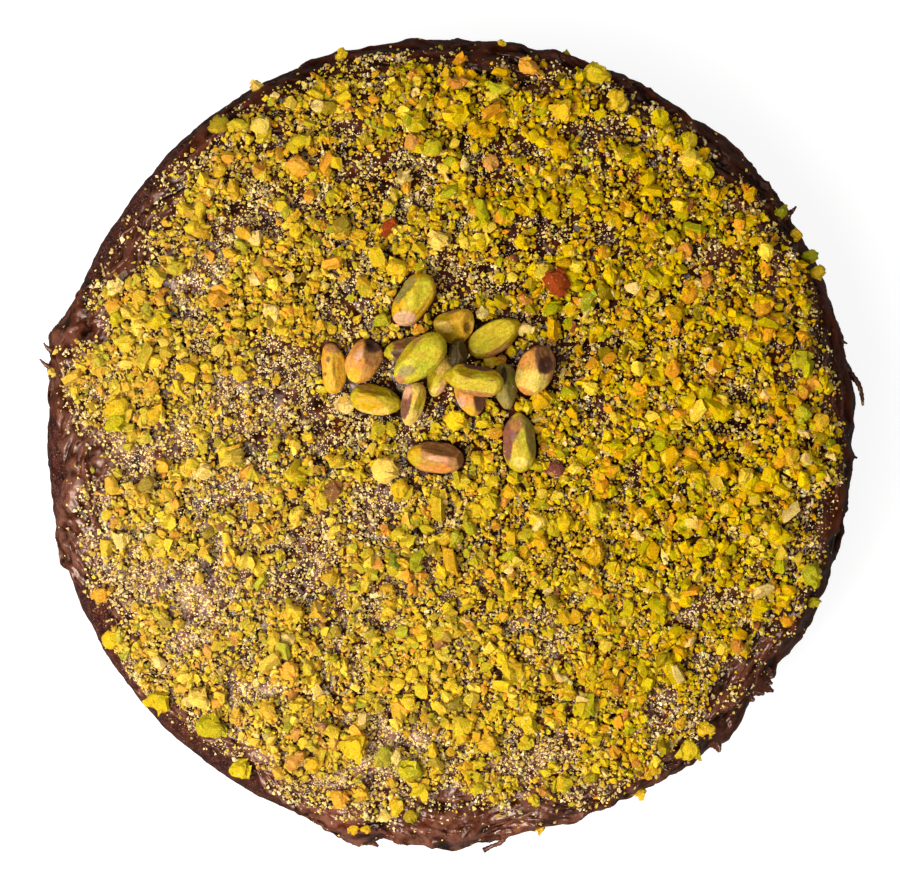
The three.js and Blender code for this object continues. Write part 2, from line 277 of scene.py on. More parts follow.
def vertex_places(mesh):
    """Every vertex of a mesh, in millimetres."""
    coords = np.zeros(len(mesh.vertices) * 3)
    mesh.vertices.foreach_get("co", coords)
    return coords.reshape(-1, 3) / MM


def turned_shell(profile_length, sides, place, name, ring=False):
    """A closed shell round Z, rolled from a grid. place(index, angle) gives the radius and height of each
    profile point in each direction. The first and last points are on the axis, or in a ring they meet."""
    bm = bmesh.new()
    along = profile_length if ring else profile_length - 1
    bmesh.ops.create_grid(bm, x_segments=along, y_segments=sides, size=0.5)
    flat = verts_of(bm)
    index = np.round((flat[:, 0] + 0.5) * along).astype(int) % profile_length
    side = np.round((flat[:, 1] + 0.5) * sides).astype(int) % sides
    angle = side * TURN / sides
    radius, height = place(index, angle)
    move_verts(bm, np.stack([*place_at(radius, angle), height], axis=1) * MM)
    bmesh.ops.remove_doubles(bm, verts=bm.verts[:], dist=1e-7)
    outward_normals(bm)
    return finished_mesh(bm, name)


# ---------------------------------------------------------------- sponge

SPONGE_SIDES = 720
SPONGE_TOP_RUNS = [0, 40, 75, 92]
SHOULDER_START = 97
SHOULDER_STEPS = 26
WALL_STEPS = 44
FOOT_STEPS = 5
PORE_DEPTH = 1.5
SMALL_PORE_DEPTH = 0.9
DEEPEST_PIT = 2.4


def sponge_pits(x, y, height):
    """How far the crumb's surface lies in: pits of two sizes between torn lumps, and a plain foot."""
    bent_x, bent_y = x + 1.6 * lumps(x, y, height, 3.1, 17), y + 1.6 * lumps(x, y, height, 3.1, 18)
    torn = rough(x, y, height, 9, 11) - 0.4
    small = rough(x, y, height, 2.2, 15)
    pits = PORE_DEPTH * pores(bent_x, bent_y, height * 1.25, 6.5, 21)
    holes = SMALL_PORE_DEPTH * pores(bent_x, bent_y, height * 1.1, 2.7, 31)
    inward = np.clip(0.5 * -torn - 0.5 * small + pits + holes, -0.25, DEEPEST_PIT)
    return inward * smoothstep(height, 0.2, 3)


def sponge_mesh():
    shoulder = np.linspace(SHOULDER_START, FLAT_RADIUS + SHOULDER_RUN, SHOULDER_STEPS)
    wall_length = EDGE_HEIGHT - SHOULDER_DROP - FOOT_ROUND
    wall = FLAT_RADIUS + SHOULDER_RUN + np.linspace(0, wall_length, WALL_STEPS + 1)[1:]
    runs = np.concatenate([SPONGE_TOP_RUNS, shoulder, wall])
    bends = np.linspace(0, math.pi / 2, FOOT_STEPS + 1)
    count = len(runs) + FOOT_STEPS + 1

    def place(index, angle):
        run = runs[np.minimum(index, len(runs) - 1)]
        radius, height, out, up = on_sponge(run, angle)
        bend = bends[np.clip(index - len(runs) + 1, 0, FOOT_STEPS)]
        radius = radius - FOOT_ROUND * (1 - np.cos(bend))
        height = height - FOOT_ROUND * np.sin(bend)
        inward = sponge_pits(*place_at(radius, angle), height)
        radius = radius - inward * np.maximum(out, 0.0)
        height = height - inward * up * (run > SPONGE_TOP_RUNS[-1])
        last = index == count - 1
        return np.where(last, 0, radius), np.where(last, 0, height)

    return turned_shell(count, SPONGE_SIDES, place, "sponge_crumb")


# ---------------------------------------------------------------- icing

TOP_SIDES = 480
TOP_END = 96
TOP_STEPS = 96
EDGE_SIDES = 1200
EDGE_START = 92
EDGE_STEPS = 76
TUCK = 1.2
END_EASE = 1.6  # marks fade out over this last stretch of the icing
THINNEST = 0.15
SMEAR_HEIGHT, DRAG_HEIGHT, LIFT_HEIGHT, PEBBLE_HEIGHT = 0.35, 0.8, 0.8, 0.55

# Ridges and creases where the knife left the icing at the edge: ends in millimetres, half width and height.
FOLDS = [
    (85, -69, 73.1, -76.7, 1.3, 2.2), (86.8, -70.7, 81, -74.4, 1, -3.4), (80.8, -75, 73.5, -79.7, 1, -3.2),
    (86.3, -73.7, 74.8, -83.9, 1.5, 2.2), (84.2, -68.3, 91.7, -65.1, 1.3, 1.9),
    (91.6, -65.1, 92.7, -72, 1.2, 1.5), (78, -62, 66, -76, 1, 1.2), (76.5, -66.5, 68, -77.5, 0.8, -1.6),
    (70, -83, 60, -93, 1.2, 1.2), (76, -86, 69, -95, 1, 1.1), (66, -86.5, 57, -95, 0.8, -1.2),
    (-36.4, -106.4, -27, -110.2, 1.1, 1.5), (-17, -110.2, -2.7, -113.2, 1.1, 1.4),
    (-24, -108, -8, -109.5, 0.8, -1.4), (0, -110.5, 16, -112, 1.1, 1.2), (-34, -103, -18, -106, 0.9, 0.9),
    (1.3, 111.8, 17, 110.2, 1.4, 1), (17, 110.6, 19.5, 108.6, 1.1, 0.8),
    (21.5, 110, 27.5, 110.5, 1.1, -2.2), (28, 109.5, 36, 105, 1.2, 1.2), (4, 107.5, 20, 104.5, 1, 1.1),
    (6, 104, 24, 101.5, 0.9, -1), (-20, 107.6, -6, 109.6, 1.1, 0.8), (-113, 28, -104, 33, 1.8, 1.4),
    (-114, 24, -110, 12, 1.5, 1.2), (-108, 20, -103, 4, 1.1, 1.1), (-102.2, 33, -103, 31, 1.5, -4.2),
    (-104, 0, -101, -24, 1.3, 1.2), (-99, -30, -93, -50, 1.2, 0.9), (110, 20, 112, 4, 1, 1.1),
    (111, -4, 107, -26, 1, 1.2), (104, -34, 95, -54, 1.1, 1.1), (92, 64, 84, 76, 1.3, 1.3),
    (78, 78, 64, 90, 1.1, 1), (-62, 88, -46, 98, 1.1, 0.9),
]

# Features of the rim where the icing's surface stands further out or in than the source's.
EDGE_TRIM = [
    (89, 9, -1.4), (108, 3, -0.9), (163, 2.5, -1), (172, 4, -3), (252, 2, -1.2), (260.5, 1.8, -2.2),
    (264, 4, -0.5), (275, 3.5, -2.8), (287, 9, 1.2), (318, 5, -1.3), (325, 2.5, -1.8),
]


def folds(x, y):
    """The height that the folds at the edge add at a place."""
    total = 0
    for x0, y0, x1, y1, half_width, height in FOLDS:
        share = ((x - x0) * (x1 - x0) + (y - y0) * (y1 - y0)) / ((x1 - x0) ** 2 + (y1 - y0) ** 2)
        share = np.clip(share, 0, 1)
        wander = 0.6 * np.sin(9 * share + x0)
        away = np.hypot(x - x0 - share * (x1 - x0), y - y0 - share * (y1 - y0)) + wander * share * (1 - share)
        away = np.maximum(away, 0) / half_width
        total = total + height * np.exp(-away ** 1.4) * (0.5 + 0.5 * np.sin(math.pi * share))
    return total


def icing_detail(x, y, height, run, angle, end):
    """What the knife and the icing's own stiffness leave: smears, drag marks, and folds along the edge."""
    along, across = along_across(x, y, STROKE_HEADING)
    bent = across + 5 * np.sin(along / 21)
    smears = sharp(lumps(along / 5, bent, 0, 3.6, 41)) + 0.6 * lumps(along / 3, bent, 0, 1.8, 42)
    drags = sharp(rim_lumps(angle, run + 4 * np.sin(angle * 9), 20, 3.2, 43))
    drags = drags + 0.6 * sharp(rim_lumps(angle, run + 3 * np.sin(angle * 17), 9, 1.5, 44))
    near_edge = smoothstep(run, 94, 103)
    marks = SMEAR_HEIGHT * smears * (1 - near_edge) + DRAG_HEIGHT * drags * near_edge
    lifted = sharp(rim_lumps(angle, run * 0.8 + 4 * np.sin(angle * 13), 7.5, 5.5, 45))
    lifted = LIFT_HEIGHT * np.maximum(lifted, -0.5) * smoothstep(run, 99, 109)
    pebbles = PEBBLE_HEIGHT * rough(x, y, height, 2.6, 47) + 0.14 * sharp(lumps(x, y, height, 1.4, 50))
    pebbles = pebbles * (1 - 0.75 * near_edge)
    return (marks + lifted + pebbles + folds(x, y)) * smoothstep(end - run, 0, END_EASE)


def icing_end(angle):
    """How far out the icing runs, with its ragged small tongues."""
    tongues = 1.4 * rim_lumps(angle, 0, 8, 1, 48) + 1.0 * rim_lumps(angle, 0, 2.8, 1, 49)
    return icing_run(angle) + tongues


def icing_off(run, angle):
    """How far the icing's surface stands off the sponge's."""
    end = icing_end(angle)
    radius, height = on_sponge(run, angle)[:2]
    x, y = place_at(radius, angle)
    trim = summed(EDGE_TRIM, angle) * smoothstep(run, 99, 107) * smoothstep(end - run, 0, END_EASE)
    off = CLEARANCE + icing_depth(run, angle, end) + icing_detail(x, y, height, run, angle, end) + trim
    return np.maximum(off, THINNEST)


def icing_top_mesh():
    """The icing inside the edge band. Its rim dips under the band."""
    runs = np.concatenate([np.linspace(0, TOP_END, TOP_STEPS), [TOP_END + 0.8, TOP_END - 3, 0]])
    offs = [-0.8, -TUCK - 2, -TUCK - 2]

    def place(index, angle):
        run = runs[index]
        off = icing_off(run, angle) - 0.06 * smoothstep(run, TOP_END - 3, TOP_END)
        for number, value in enumerate(offs):
            off = np.where(index == TOP_STEPS + number, value, off)
        return off_sponge(run, angle, off)

    return turned_shell(len(runs), TOP_SIDES, place, "icing_top")


def icing_edge_mesh():
    """The band of icing over the shoulder and down to its ragged end, closed underneath."""

    def place(index, angle):
        end = icing_end(angle)
        share = np.clip(index / (EDGE_STEPS - 1), 0, 1)
        share = 1 - (1 - share) ** 1.3
        run = EDGE_START + share * (end - EDGE_START)
        off = icing_off(run, angle) - 1.2 * smoothstep(TOP_END - 2 - run, 0, 2.5)
        run = np.where(index == EDGE_STEPS + 1, 0.5 * (end + EDGE_START), run)
        run = np.where(index == EDGE_STEPS + 2, EDGE_START, run)
        off = np.where(index >= EDGE_STEPS, -TUCK, off)
        return off_sponge(run, angle, off)

    return turned_shell(EDGE_STEPS + 3, EDGE_SIDES, place, "icing_edge", ring=True)


# ---------------------------------------------------------------- threads of icing

# Threads and spikes that the knife drew out: how flat each is, then points in millimetres with the radius.
THREADS = [
    (1, [(112, 21.5, 38, 1.6), (114.6, 18.6, 39, 1), (116.6, 16, 39.5, 0.75), (117.6, 12.6, 39, 0.6),
        (117.9, 10, 38.5, 0.35)]),
    (1, [(110, 29.2, 40, 1.1), (111.8, 28.2, 41, 0.6), (113.3, 27.6, 41.2, 0.2)]),
    (1, [(113, -4, 37, 1.3), (115.2, -4.6, 37.4, 0.6), (116.4, -5, 37.6, 0.25)]),
    (1.4, [(71, -81.4, 42, 2), (74.2, -84.6, 41, 1.8), (76.2, -87, 40.4, 1), (76.9, -88.8, 40, 0.35)]),
    (1, [(-30, -112.6, 33, 2.1), (-25.8, -114.4, 32, 1.6), (-22.6, -115, 32, 1),
        (-20.4, -116.2, 32.4, 0.4)]),
    (1, [(16.2, -112.2, 38, 1), (14.6, -114.8, 36.5, 0.7), (12, -116, 35, 0.6), (9.8, -117.2, 34.2, 0.8)]),
    (1, [(-113, 25.6, 43, 1.2), (-114.6, 26.6, 43.6, 0.5), (-115.4, 27.8, 44, 0.2)]),
    (1, [(-112.6, 20.4, 42, 1.3), (-115, 21.6, 42.4, 0.6), (-116.6, 23.2, 42.8, 0.2)]),
    (1, [(93.6, 62, 42, 2), (95.8, 64, 42.5, 1.3), (97.6, 65.4, 43, 0.6), (98.6, 66.6, 43.4, 0.25)]),
]
# The torn flap at the lower right: each tooth runs from a root in the icing to its tip.
FLAP_TEETH = [
    (84.6, -63, 91.8, -65.6), (85, -64.6, 92.6, -67.2), (85.2, -66.4, 91.9, -69.2),
    (84.8, -68, 92.2, -71.4), (83.6, -69.6, 89.6, -72.2), (82, -71.4, 86.8, -74),
]
FLAP_FLATNESS = 1.3
THREAD_SIDES = 10
THREAD_STEPS = 6

# Folds of icing that lie along the edge: points in millimetres and the radius at each.
LYING_FOLDS = [
    [(84, -62, 0.5), (80.5, -67.5, 1.3), (76, -74.5, 1.5), (71, -80.5, 0.6)],
    [(86.8, -69, 0.5), (83, -73.6, 1.5), (78.3, -78.8, 1.6), (74.6, -82.4, 0.8)],
    [(89.4, -63.6, 0.5), (85.6, -66.8, 1.4), (82, -71, 1.1), (79, -75.4, 0.3)],
    [(74, -64, 0.3), (70, -70, 0.9), (66, -74.4, 0.4)],
    [(73.8, -80, 0.5), (70, -85, 1.1), (64, -90.4, 0.5)],
    [(-37, -104.4, 0.4), (-31, -107, 1.2), (-25, -109.4, 0.9), (-20.6, -110.6, 0.3)],
    [(-22, -106.6, 0.3), (-14, -108.6, 1), (-6, -110.8, 1.2), (-1, -111.4, 0.5)],
    [(-12, -105.4, 0.3), (-4, -107.4, 0.8), (5, -108.6, 0.9), (12, -108.4, 0.3)],
    [(5, 106, 0.3), (11, 106.8, 1.1), (18, 105.4, 1), (23, 103, 0.3)],
    [(13, 109.8, 0.3), (19.6, 108.8, 0.9), (25, 106.4, 0.9), (31, 105.4, 0.3)],
    [(-110.6, 27.4, 0.5), (-107, 31, 1.5), (-102, 33.6, 1.3), (-97.6, 34, 0.4)],
    [(-109.6, 24, 0.4), (-109, 18, 1.1), (-107.4, 11, 0.9), (-107, 6, 0.3)],
    [(109, 24, 0.3), (110.6, 17, 1), (111, 10, 0.9), (110.6, 3, 0.3)],
    [(107.4, 20, 0.3), (108.4, 13, 0.8), (107.6, 5, 0.7), (108.4, -2, 0.3)],
    [(110.8, -2, 0.3), (110.4, -9, 0.9), (108.8, -17, 0.8), (106.8, -24, 0.3)],
]
DRAWN_FOLDS = 110  # more such folds, drawn at random round the edge
FOLD_SEED = 60210
FOLD_FLATNESS = 1.15
FOLD_SINK = 0.45  # how much of its radius a fold is sunk


def drawn_folds():
    """Random thin folds near the edge, most of them along it."""
    rng = np.random.default_rng(FOLD_SEED)
    made = []
    for number in range(DRAWN_FOLDS):
        angle, reach = rng.uniform(0, TURN), rng.uniform(101.5, 110.5)
        half_length, slope = rng.uniform(2, 7), rng.uniform(-0.35, 0.35)
        size = rng.uniform(0.35, 0.95)
        fold = []
        for share, swell in ((-1, 0.3), (-0.4, 0.9), (0.35, 1), (1, 0.3)):
            out = min(reach + slope * share * half_length + rng.uniform(-0.6, 0.6), 111.4)
            turn = angle + share * half_length / out
            fold.append((out * math.cos(turn), out * math.sin(turn), size * swell))
        made.append(fold)
    return made


def height_at(heights, x, y):
    """The height of the iced cake at one place, from its grid."""
    column, row = (x + GRID_REACH) / GRID_STEP, (y + GRID_REACH) / GRID_STEP
    left, low = int(column), int(row)
    right_share, high_share = column - left, row - low
    near = heights[low:low + 2, left:left + 2]
    across = near[:, 0] * (1 - right_share) + near[:, 1] * right_share
    return across[0] * (1 - high_share) + across[1] * high_share


def smooth_path(points):
    """Points along a smooth curve through the given ones (Catmull-Rom)."""
    points = np.array(points, dtype=float)
    padded = np.concatenate([[2 * points[0] - points[1]], points, [2 * points[-1] - points[-2]]])
    path = []
    for number in range(len(points) - 1):
        before, first, second, after = padded[number:number + 4]
        for share in np.arange(THREAD_STEPS) / THREAD_STEPS:
            path.append(0.5 * (
                2 * first + (second - before) * share
                + (2 * before - 5 * first + 4 * second - after) * share ** 2
                + (3 * first - before - 3 * second + after) * share ** 3))
    path.append(points[-1])
    return np.array(path)


def tube_mesh(path, number, flat):
    """Rings along a path, bridged and closed at both ends. A flat one is wider than it is thick."""
    bm = bmesh.new()
    last_ring = None
    for step, (x, y, z, radius) in enumerate(path):
        near, far = path[max(step - 1, 0)], path[min(step + 1, len(path) - 1)]
        facing = Vector(far[:3] - near[:3]).to_track_quat("Z", "Y").to_matrix().to_4x4()
        swell = radius * (1 + 0.14 * math.sin(2.3 * step + number))
        place = Matrix.Translation(Vector((x, y, z)) * MM) @ facing @ Matrix.Diagonal((flat, 1 / flat, 1, 1))
        capped = step in (0, len(path) - 1)
        ring = bmesh.ops.create_circle(
            bm, cap_ends=capped, segments=THREAD_SIDES, radius=swell * MM, matrix=place)["verts"]
        edges = list({edge for vert in ring for edge in vert.link_edges if edge.other_vert(vert) in ring})
        if last_ring is not None:
            bmesh.ops.bridge_loops(bm, edges=last_ring + edges)
        last_ring = edges
    outward_normals(bm)
    return finished_mesh(bm, "thread")


def threads_mesh(heights):
    """Every thread, with its root inside the icing, and the folds that lie half sunk along the edge."""
    joined = bmesh.new()
    paths = [(smooth_path(points), flat) for flat, points in THREADS]
    for x0, y0, x1, y1 in FLAP_TEETH:
        middle = (0.4 * x0 + 0.6 * x1, 0.4 * y0 + 0.6 * y1, 42.4, 1.3)
        paths.append((smooth_path([(x0, y0, 41.6, 1.8), middle, (x1, y1, 42.2, 0.3)]), FLAP_FLATNESS))
    for fold in LYING_FOLDS + drawn_folds():
        x, y, radius = smooth_path(fold).T
        z = np.array([height_at(heights, *spot) for spot in zip(x, y)]) - FOLD_SINK * radius
        paths.append((np.stack([x, y, z, radius], axis=1), FOLD_FLATNESS))
    for number, (path, flat) in enumerate(paths):
        thread = tube_mesh(path, number, flat)
        joined.from_mesh(thread)
        bpy.data.meshes.remove(thread)
    return finished_mesh(joined, "icing_threads")


# ---------------------------------------------------------------- whole kernels

FLESH = {
    "lime": (194, 180, 36), "yellow": (196, 154, 6), "gold": (212, 162, 40), "olive": (164, 140, 10),
    "pale": (222, 186, 86), "orange_tan": (202, 138, 62), "tan": (174, 122, 66), "moss": (138, 126, 56),
    "brown": (134, 90, 52), "dark_brown": (82, 52, 40), "mauve": (126, 80, 64), "pink": (206, 154, 118),
    "grey_green": (148, 132, 64), "grey_brown": (106, 84, 64), "dark_olive": (66, 52, 14),
    "green_gold": (188, 166, 30),
}
KERNEL_THICKNESS = 0.9
KERNEL_FULLNESS = 2.5  # at 2 the body is an ellipsoid, and above it a fuller one
WRINKLE_HEIGHT, GRAIN_HEIGHT, DENT_HEIGHT = 0.11, 0.06, 0.34
KERNEL_WEAR = 9  # how often the edges of the flat sides are smoothed
KERNEL_ROUNDS = 5  # how often the ball that a kernel starts from is subdivided
FIRST_SEED, SEED_STEP = 100, 20  # of the kernels' unevenness


def whole_kernel(x, y, length, width, heading, rise, flesh, faces,
                 patches=(), bites=(), bend=0, taper=0.1, tip=0.1):
    """A kernel as in the part's source, with its flesh. Its faces are flat sides: heading and pitch that
    one looks to, distance from the kernel's middle in millimetres, and colour. Its patches are skin:
    place from the middle, radius, stretch along and heading of the stretch, and colour. Its bites are
    notches: place from the middle and radius."""
    return {
        "x": x, "y": y, "length": length, "width": width, "heading": heading, "rise": rise, "flesh": flesh,
        "faces": faces, "patches": patches, "bites": bites, "bend": bend, "taper": taper, "tip": tip}


# In the order of the part's nodes, kernel_01 first.
KERNELS = [
    whole_kernel(
        -10.2, 39.5, 16.4, 9.6, 57, 8, "yellow", taper=-0.1,
        faces=[(146, 30, 3.9, "grey_green"), (345, 70, 4, None)],
        patches=[(1.4, 1.6, 2.8, 1.8, 60, "lime"), (-2.6, -5.6, 2.6, 1.3, 15, "pink"),
            (-3.6, -2.8, 0.5, 1, 0, "brown")]),
    whole_kernel(
        1.2, 33.6, 12, 9.2, 22, 6, "gold", bend=0.32,
        faces=[(125, 40, 3, "olive"), (350, 40, 4.2, None), (250, 55, 3.4, "yellow")],
        patches=[(-2.8, -1.6, 1.4, 2, -30, "pale"), (0.6, 3.6, 1, 3, 25, "tan")],
        bites=[(4.2, -1.8, 1.4, 2)]),
    whole_kernel(
        12.6, 29, 16.6, 8.6, 30, -5, "olive", tip=0.2,
        faces=[(110, 74, 2, "green_gold")],
        patches=[(1.2, -3.8, 0.7, 7, 30, "tan")]),
    whole_kernel(
        -24.4, 22.2, 13.2, 9, 240, 6, "orange_tan", taper=0.06,
        faces=[(196, 46, 3.5, None), (20, 50, 3.5, "tan")],
        patches=[(3.2, 5, 2.4, 1.2, 0, "dark_brown"), (-2.6, -4.4, 2, 1.4, 60, "gold"),
            (-1, 1.8, 1, 2, 60, "pink")],
        bites=[(2.6, 5.4, 1.2, 2.2)]),
    whole_kernel(
        -33.3, 20.2, 14.6, 6.5, 95, 0, "gold", bend=0.2, taper=0.02,
        faces=[(180, 40, 2.6, "orange_tan"), (2, 48, 2.5, None)],
        patches=[(0.6, 6.2, 1.8, 1.4, 0, "tan"), (-0.8, 2.6, 0.6, 1.2, 90, "brown"),
            (-1.8, -1.6, 0.5, 1, 0, "brown")]),
    whole_kernel(
        -12.2, 25.4, 13.4, 7.4, 190, -4, "grey_brown", taper=0.12,
        faces=[(108, 44, 2.6, "brown"), (262, 50, 2.8, None)],
        patches=[(-6, -0.8, 2.9, 1.2, 100, "green_gold"), (-2.4, -1.4, 1, 2.2, -30, "dark_brown")]),
    whole_kernel(
        -20.8, 11.4, 14.8, 8.8, -14, 0, "green_gold", taper=0.08,
        faces=[(84, 40, 3.3, "olive"), (262, 36, 3.4, "pale")],
        patches=[(-2.6, 3.4, 0.7, 2.4, -14, "tan"), (-2.4, -0.4, 2.2, 1.8, -14, "yellow")],
        bites=[(6.2, 2.4, 1.4, 1.9)]),
    whole_kernel(
        -10.3, 10.6, 13, 6.8, 256, 10, "pale",
        faces=[(168, 40, 2.3, "mauve"), (350, 50, 2.7, "green_gold")],
        patches=[(0.4, -4.4, 2.2, 1.3, 75, "pale"), (-1.8, 3.2, 1.4, 1.6, 75, "pink")]),
    whole_kernel(
        -2.9, 18, 12.4, 6.4, 252, 0, "pale", taper=0.12,
        faces=[(170, 40, 2.4, "olive")],
        patches=[(-0.4, -1, 1.2, 1.6, 60, "green_gold"), (0.8, -3.8, 1, 1.4, 60, "pink")]),
    whole_kernel(
        5.8, 13, 13, 8.4, 282, 0, "orange_tan",
        faces=[(190, 44, 3, None), (356, 40, 3.1, "mauve")],
        patches=[(-0.4, -5, 1.8, 1.4, 0, "gold"), (-2.4, -2, 1.2, 1.6, 75, "pink")]),
    whole_kernel(
        15.7, 15.2, 13.2, 6.7, 276, 4, "moss", taper=0.2,
        faces=[(186, 38, 2.2, "grey_green"), (4, 42, 2.3, None)],
        patches=[(0.4, -5, 1.4, 1.2, 0, "grey_green"), (-0.4, 3, 0.8, 3, 90, "dark_olive")]),
    whole_kernel(
        24.2, 19.9, 15, 10, 68, 9, "tan", taper=0.02,
        faces=[(168, 46, 3.6, "orange_tan"), (26, 50, 3.9, "brown"), (70, 20, 6.4, "brown")],
        patches=[(-1.6, -5.2, 5.2, 1.25, -14, "pale"), (-3.4, -6.6, 1.6, 1.6, -20, "orange_tan"),
            (2.6, 1.2, 1.9, 1.3, 66, "dark_brown")]),
    whole_kernel(
        19.6, -0.4, 17.2, 9.4, 93, 4, "green_gold", taper=0.02, tip=0.3,
        faces=[(186, 34, 3.9, "mauve"), (8, 30, 3.7, "grey_green")],
        patches=[(-2.8, 3.2, 2.6, 1.5, 66, "mauve"), (-0.8, 5, 2, 1.2, 20, "tan"),
            (2.4, 6, 1.8, 1.6, 90, "moss"), (0.4, -5.8, 1.6, 1.3, 0, "pale")]),
    whole_kernel(
        -4, -4.8, 16.4, 9, 172, 0, "tan", taper=0.02,
        faces=[(76, 42, 3.2, "brown"), (258, 46, 3.5, "orange_tan"), (2, 30, 6.6, "brown")],
        patches=[(-6.6, 0.8, 2.9, 1.5, 100, "yellow"), (1, -0.4, 0.9, 3.6, -8, "pink"),
            (-6.4, -3.2, 1.2, 1.2, 0, "grey_green")]),
    whole_kernel(
        2.2, 24.2, 8.4, 5.4, 88, 0, "dark_olive",
        faces=[(20, 40, 2, None)]),
    whole_kernel(
        6.6, 17, 17.2, 8.9, 171, -6, "green_gold", tip=0.3,
        faces=[(84, 46, 2.9, "olive"), (262, 24, 3.7, "tan"), (262, 62, 3.3, "green_gold")],
        patches=[(1.6, 3.8, 1.2, 3.9, -10, "dark_brown"), (2.6, 0.6, 0.9, 3.6, -9, "lime"),
            (-7, 0.8, 1.4, 1.3, 80, "olive")]),
    whole_kernel(
        -8.4, 22.8, 18.6, 10, 224, 2, "lime", taper=0.12,
        faces=[(318, 70, 3.9, None), (140, 24, 4.2, "green_gold")],
        patches=[(3, 3, 2.8, 1.8, 44, "lime"), (-3.6, -3.6, 1.5, 1.6, 20, "grey_green"),
            (-6.2, -6.4, 1.6, 1.4, 44, "tan"), (-0.6, 4.9, 0.5, 4, 40, "tan")]),
]


def linear(colour):
    """A colour from 0 to 255, as it looks, as the light that it gives back."""
    share = np.asarray(colour, dtype=float) / 255
    return np.where(share <= 0.04045, share / 12.92, ((share + 0.055) / 1.055) ** 2.4)


def between(first, second, share):
    return first * (1 - share) + second * share


def paint(mesh, colours, per_corner):
    """Colours for each vertex, or for each face corner, as the attribute that the materials read."""
    layer = mesh.color_attributes.new("tint", "FLOAT_COLOR", "CORNER" if per_corner else "POINT")
    opaque = np.concatenate([colours, np.ones((len(colours), 1))], axis=1)
    layer.data.foreach_set("color", opaque.astype(np.float32).ravel())


def flat_side(bm, heading, pitch, distance):
    """Flattens what stands out past a plane, with a crisp edge. Returns how far past it each point was."""
    facing = Euler((0, -math.radians(pitch), math.radians(heading))).to_matrix() @ Vector((1, 0, 0))
    bmesh.ops.bisect_plane(bm, geom=everything(bm), dist=0.02, plane_co=facing * distance, plane_no=facing)
    beyond = {vert: vert.co.dot(facing) - distance for vert in bm.verts}
    for vert, past in beyond.items():
        if past > 0:
            vert.co -= facing * past
    return beyond


def kernel_body(kernel, turn):
    """The source's egg-like body with its flat sides, and how far past each side its points were."""
    bm = bmesh.new()
    bmesh.ops.create_icosphere(bm, subdivisions=KERNEL_ROUNDS, radius=1)
    ball = verts_of(bm)
    along = np.clip(ball[:, 0], -1, 1)
    angle = np.arctan2(ball[:, 1], ball[:, 2])
    full = np.sqrt(np.maximum(1 - np.abs(along) ** KERNEL_FULLNESS, 0)) * (1.0 - kernel["taper"] * along)
    full = full * (1 - kernel["tip"] * smoothstep(along, 0.35, 1))
    length, width = kernel["length"], kernel["width"]
    y = (full * np.sin(angle) - kernel["bend"] * (1 - along * along) * 1.2) * width / 2
    z = full * np.cos(angle) * width * KERNEL_THICKNESS / 2
    move_verts(bm, np.stack([along * length / 2, y, z], axis=1) @ turn.T)
    sides = [flat_side(bm, *face[:3]) for face in kernel["faces"]]
    for number in range(KERNEL_WEAR):
        smooth_verts(bm, 0.5)
    bm.verts.index_update()
    bm.normal_update()
    # A point that a later cut made lies on the earlier sides' planes or outside them, so it counts as on
    # their edge.
    past = np.array([[side.get(vert, 0) for vert in bm.verts] for side in sides]).reshape(len(sides), -1)
    return bm, past


def kernel_mesh(name, kernel, seed):
    """One kernel: its body with notches, then wrinkles and dents."""
    turn = Matrix.Rotation(math.radians(kernel["heading"]), 3, "Z")
    turn = np.array(turn @ Matrix.Rotation(-math.radians(kernel["rise"]), 3, "Y"))
    bm, past = kernel_body(kernel, turn)
    offset = verts_of(bm)
    normals = np.array([vert.normal for vert in bm.verts])
    for px, py, pz, radius in kernel["bites"]:
        away = offset - np.array([px, py, pz])
        inside = np.maximum(radius - np.linalg.norm(away, axis=1), 0)
        offset = offset - normals * (0.9 * inside)[:, None]
    along, across, up = (offset @ turn).T
    wrinkles = sharp(lumps(along / 5, across, up, 1.15, seed))
    grain = lumps(along / 2, across, up, 0.5, seed + 3)
    dents = lumps(along / 1.6, across, up, 3.6, seed + 5)
    out = WRINKLE_HEIGHT * wrinkles + GRAIN_HEIGHT * grain + DENT_HEIGHT * dents
    offset = offset + normals * out[:, None]
    lowest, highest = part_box(name)
    middle = np.array([kernel["x"], kernel["y"], (lowest[2] + highest[2]) / 2 / MM])
    move_verts(bm, (middle + offset) * MM)
    outward_normals(bm)
    mesh = finished_mesh(bm, name + "_flesh")
    paint(mesh, kernel_colours(kernel, offset, past, wrinkles, seed), False)
    return mesh


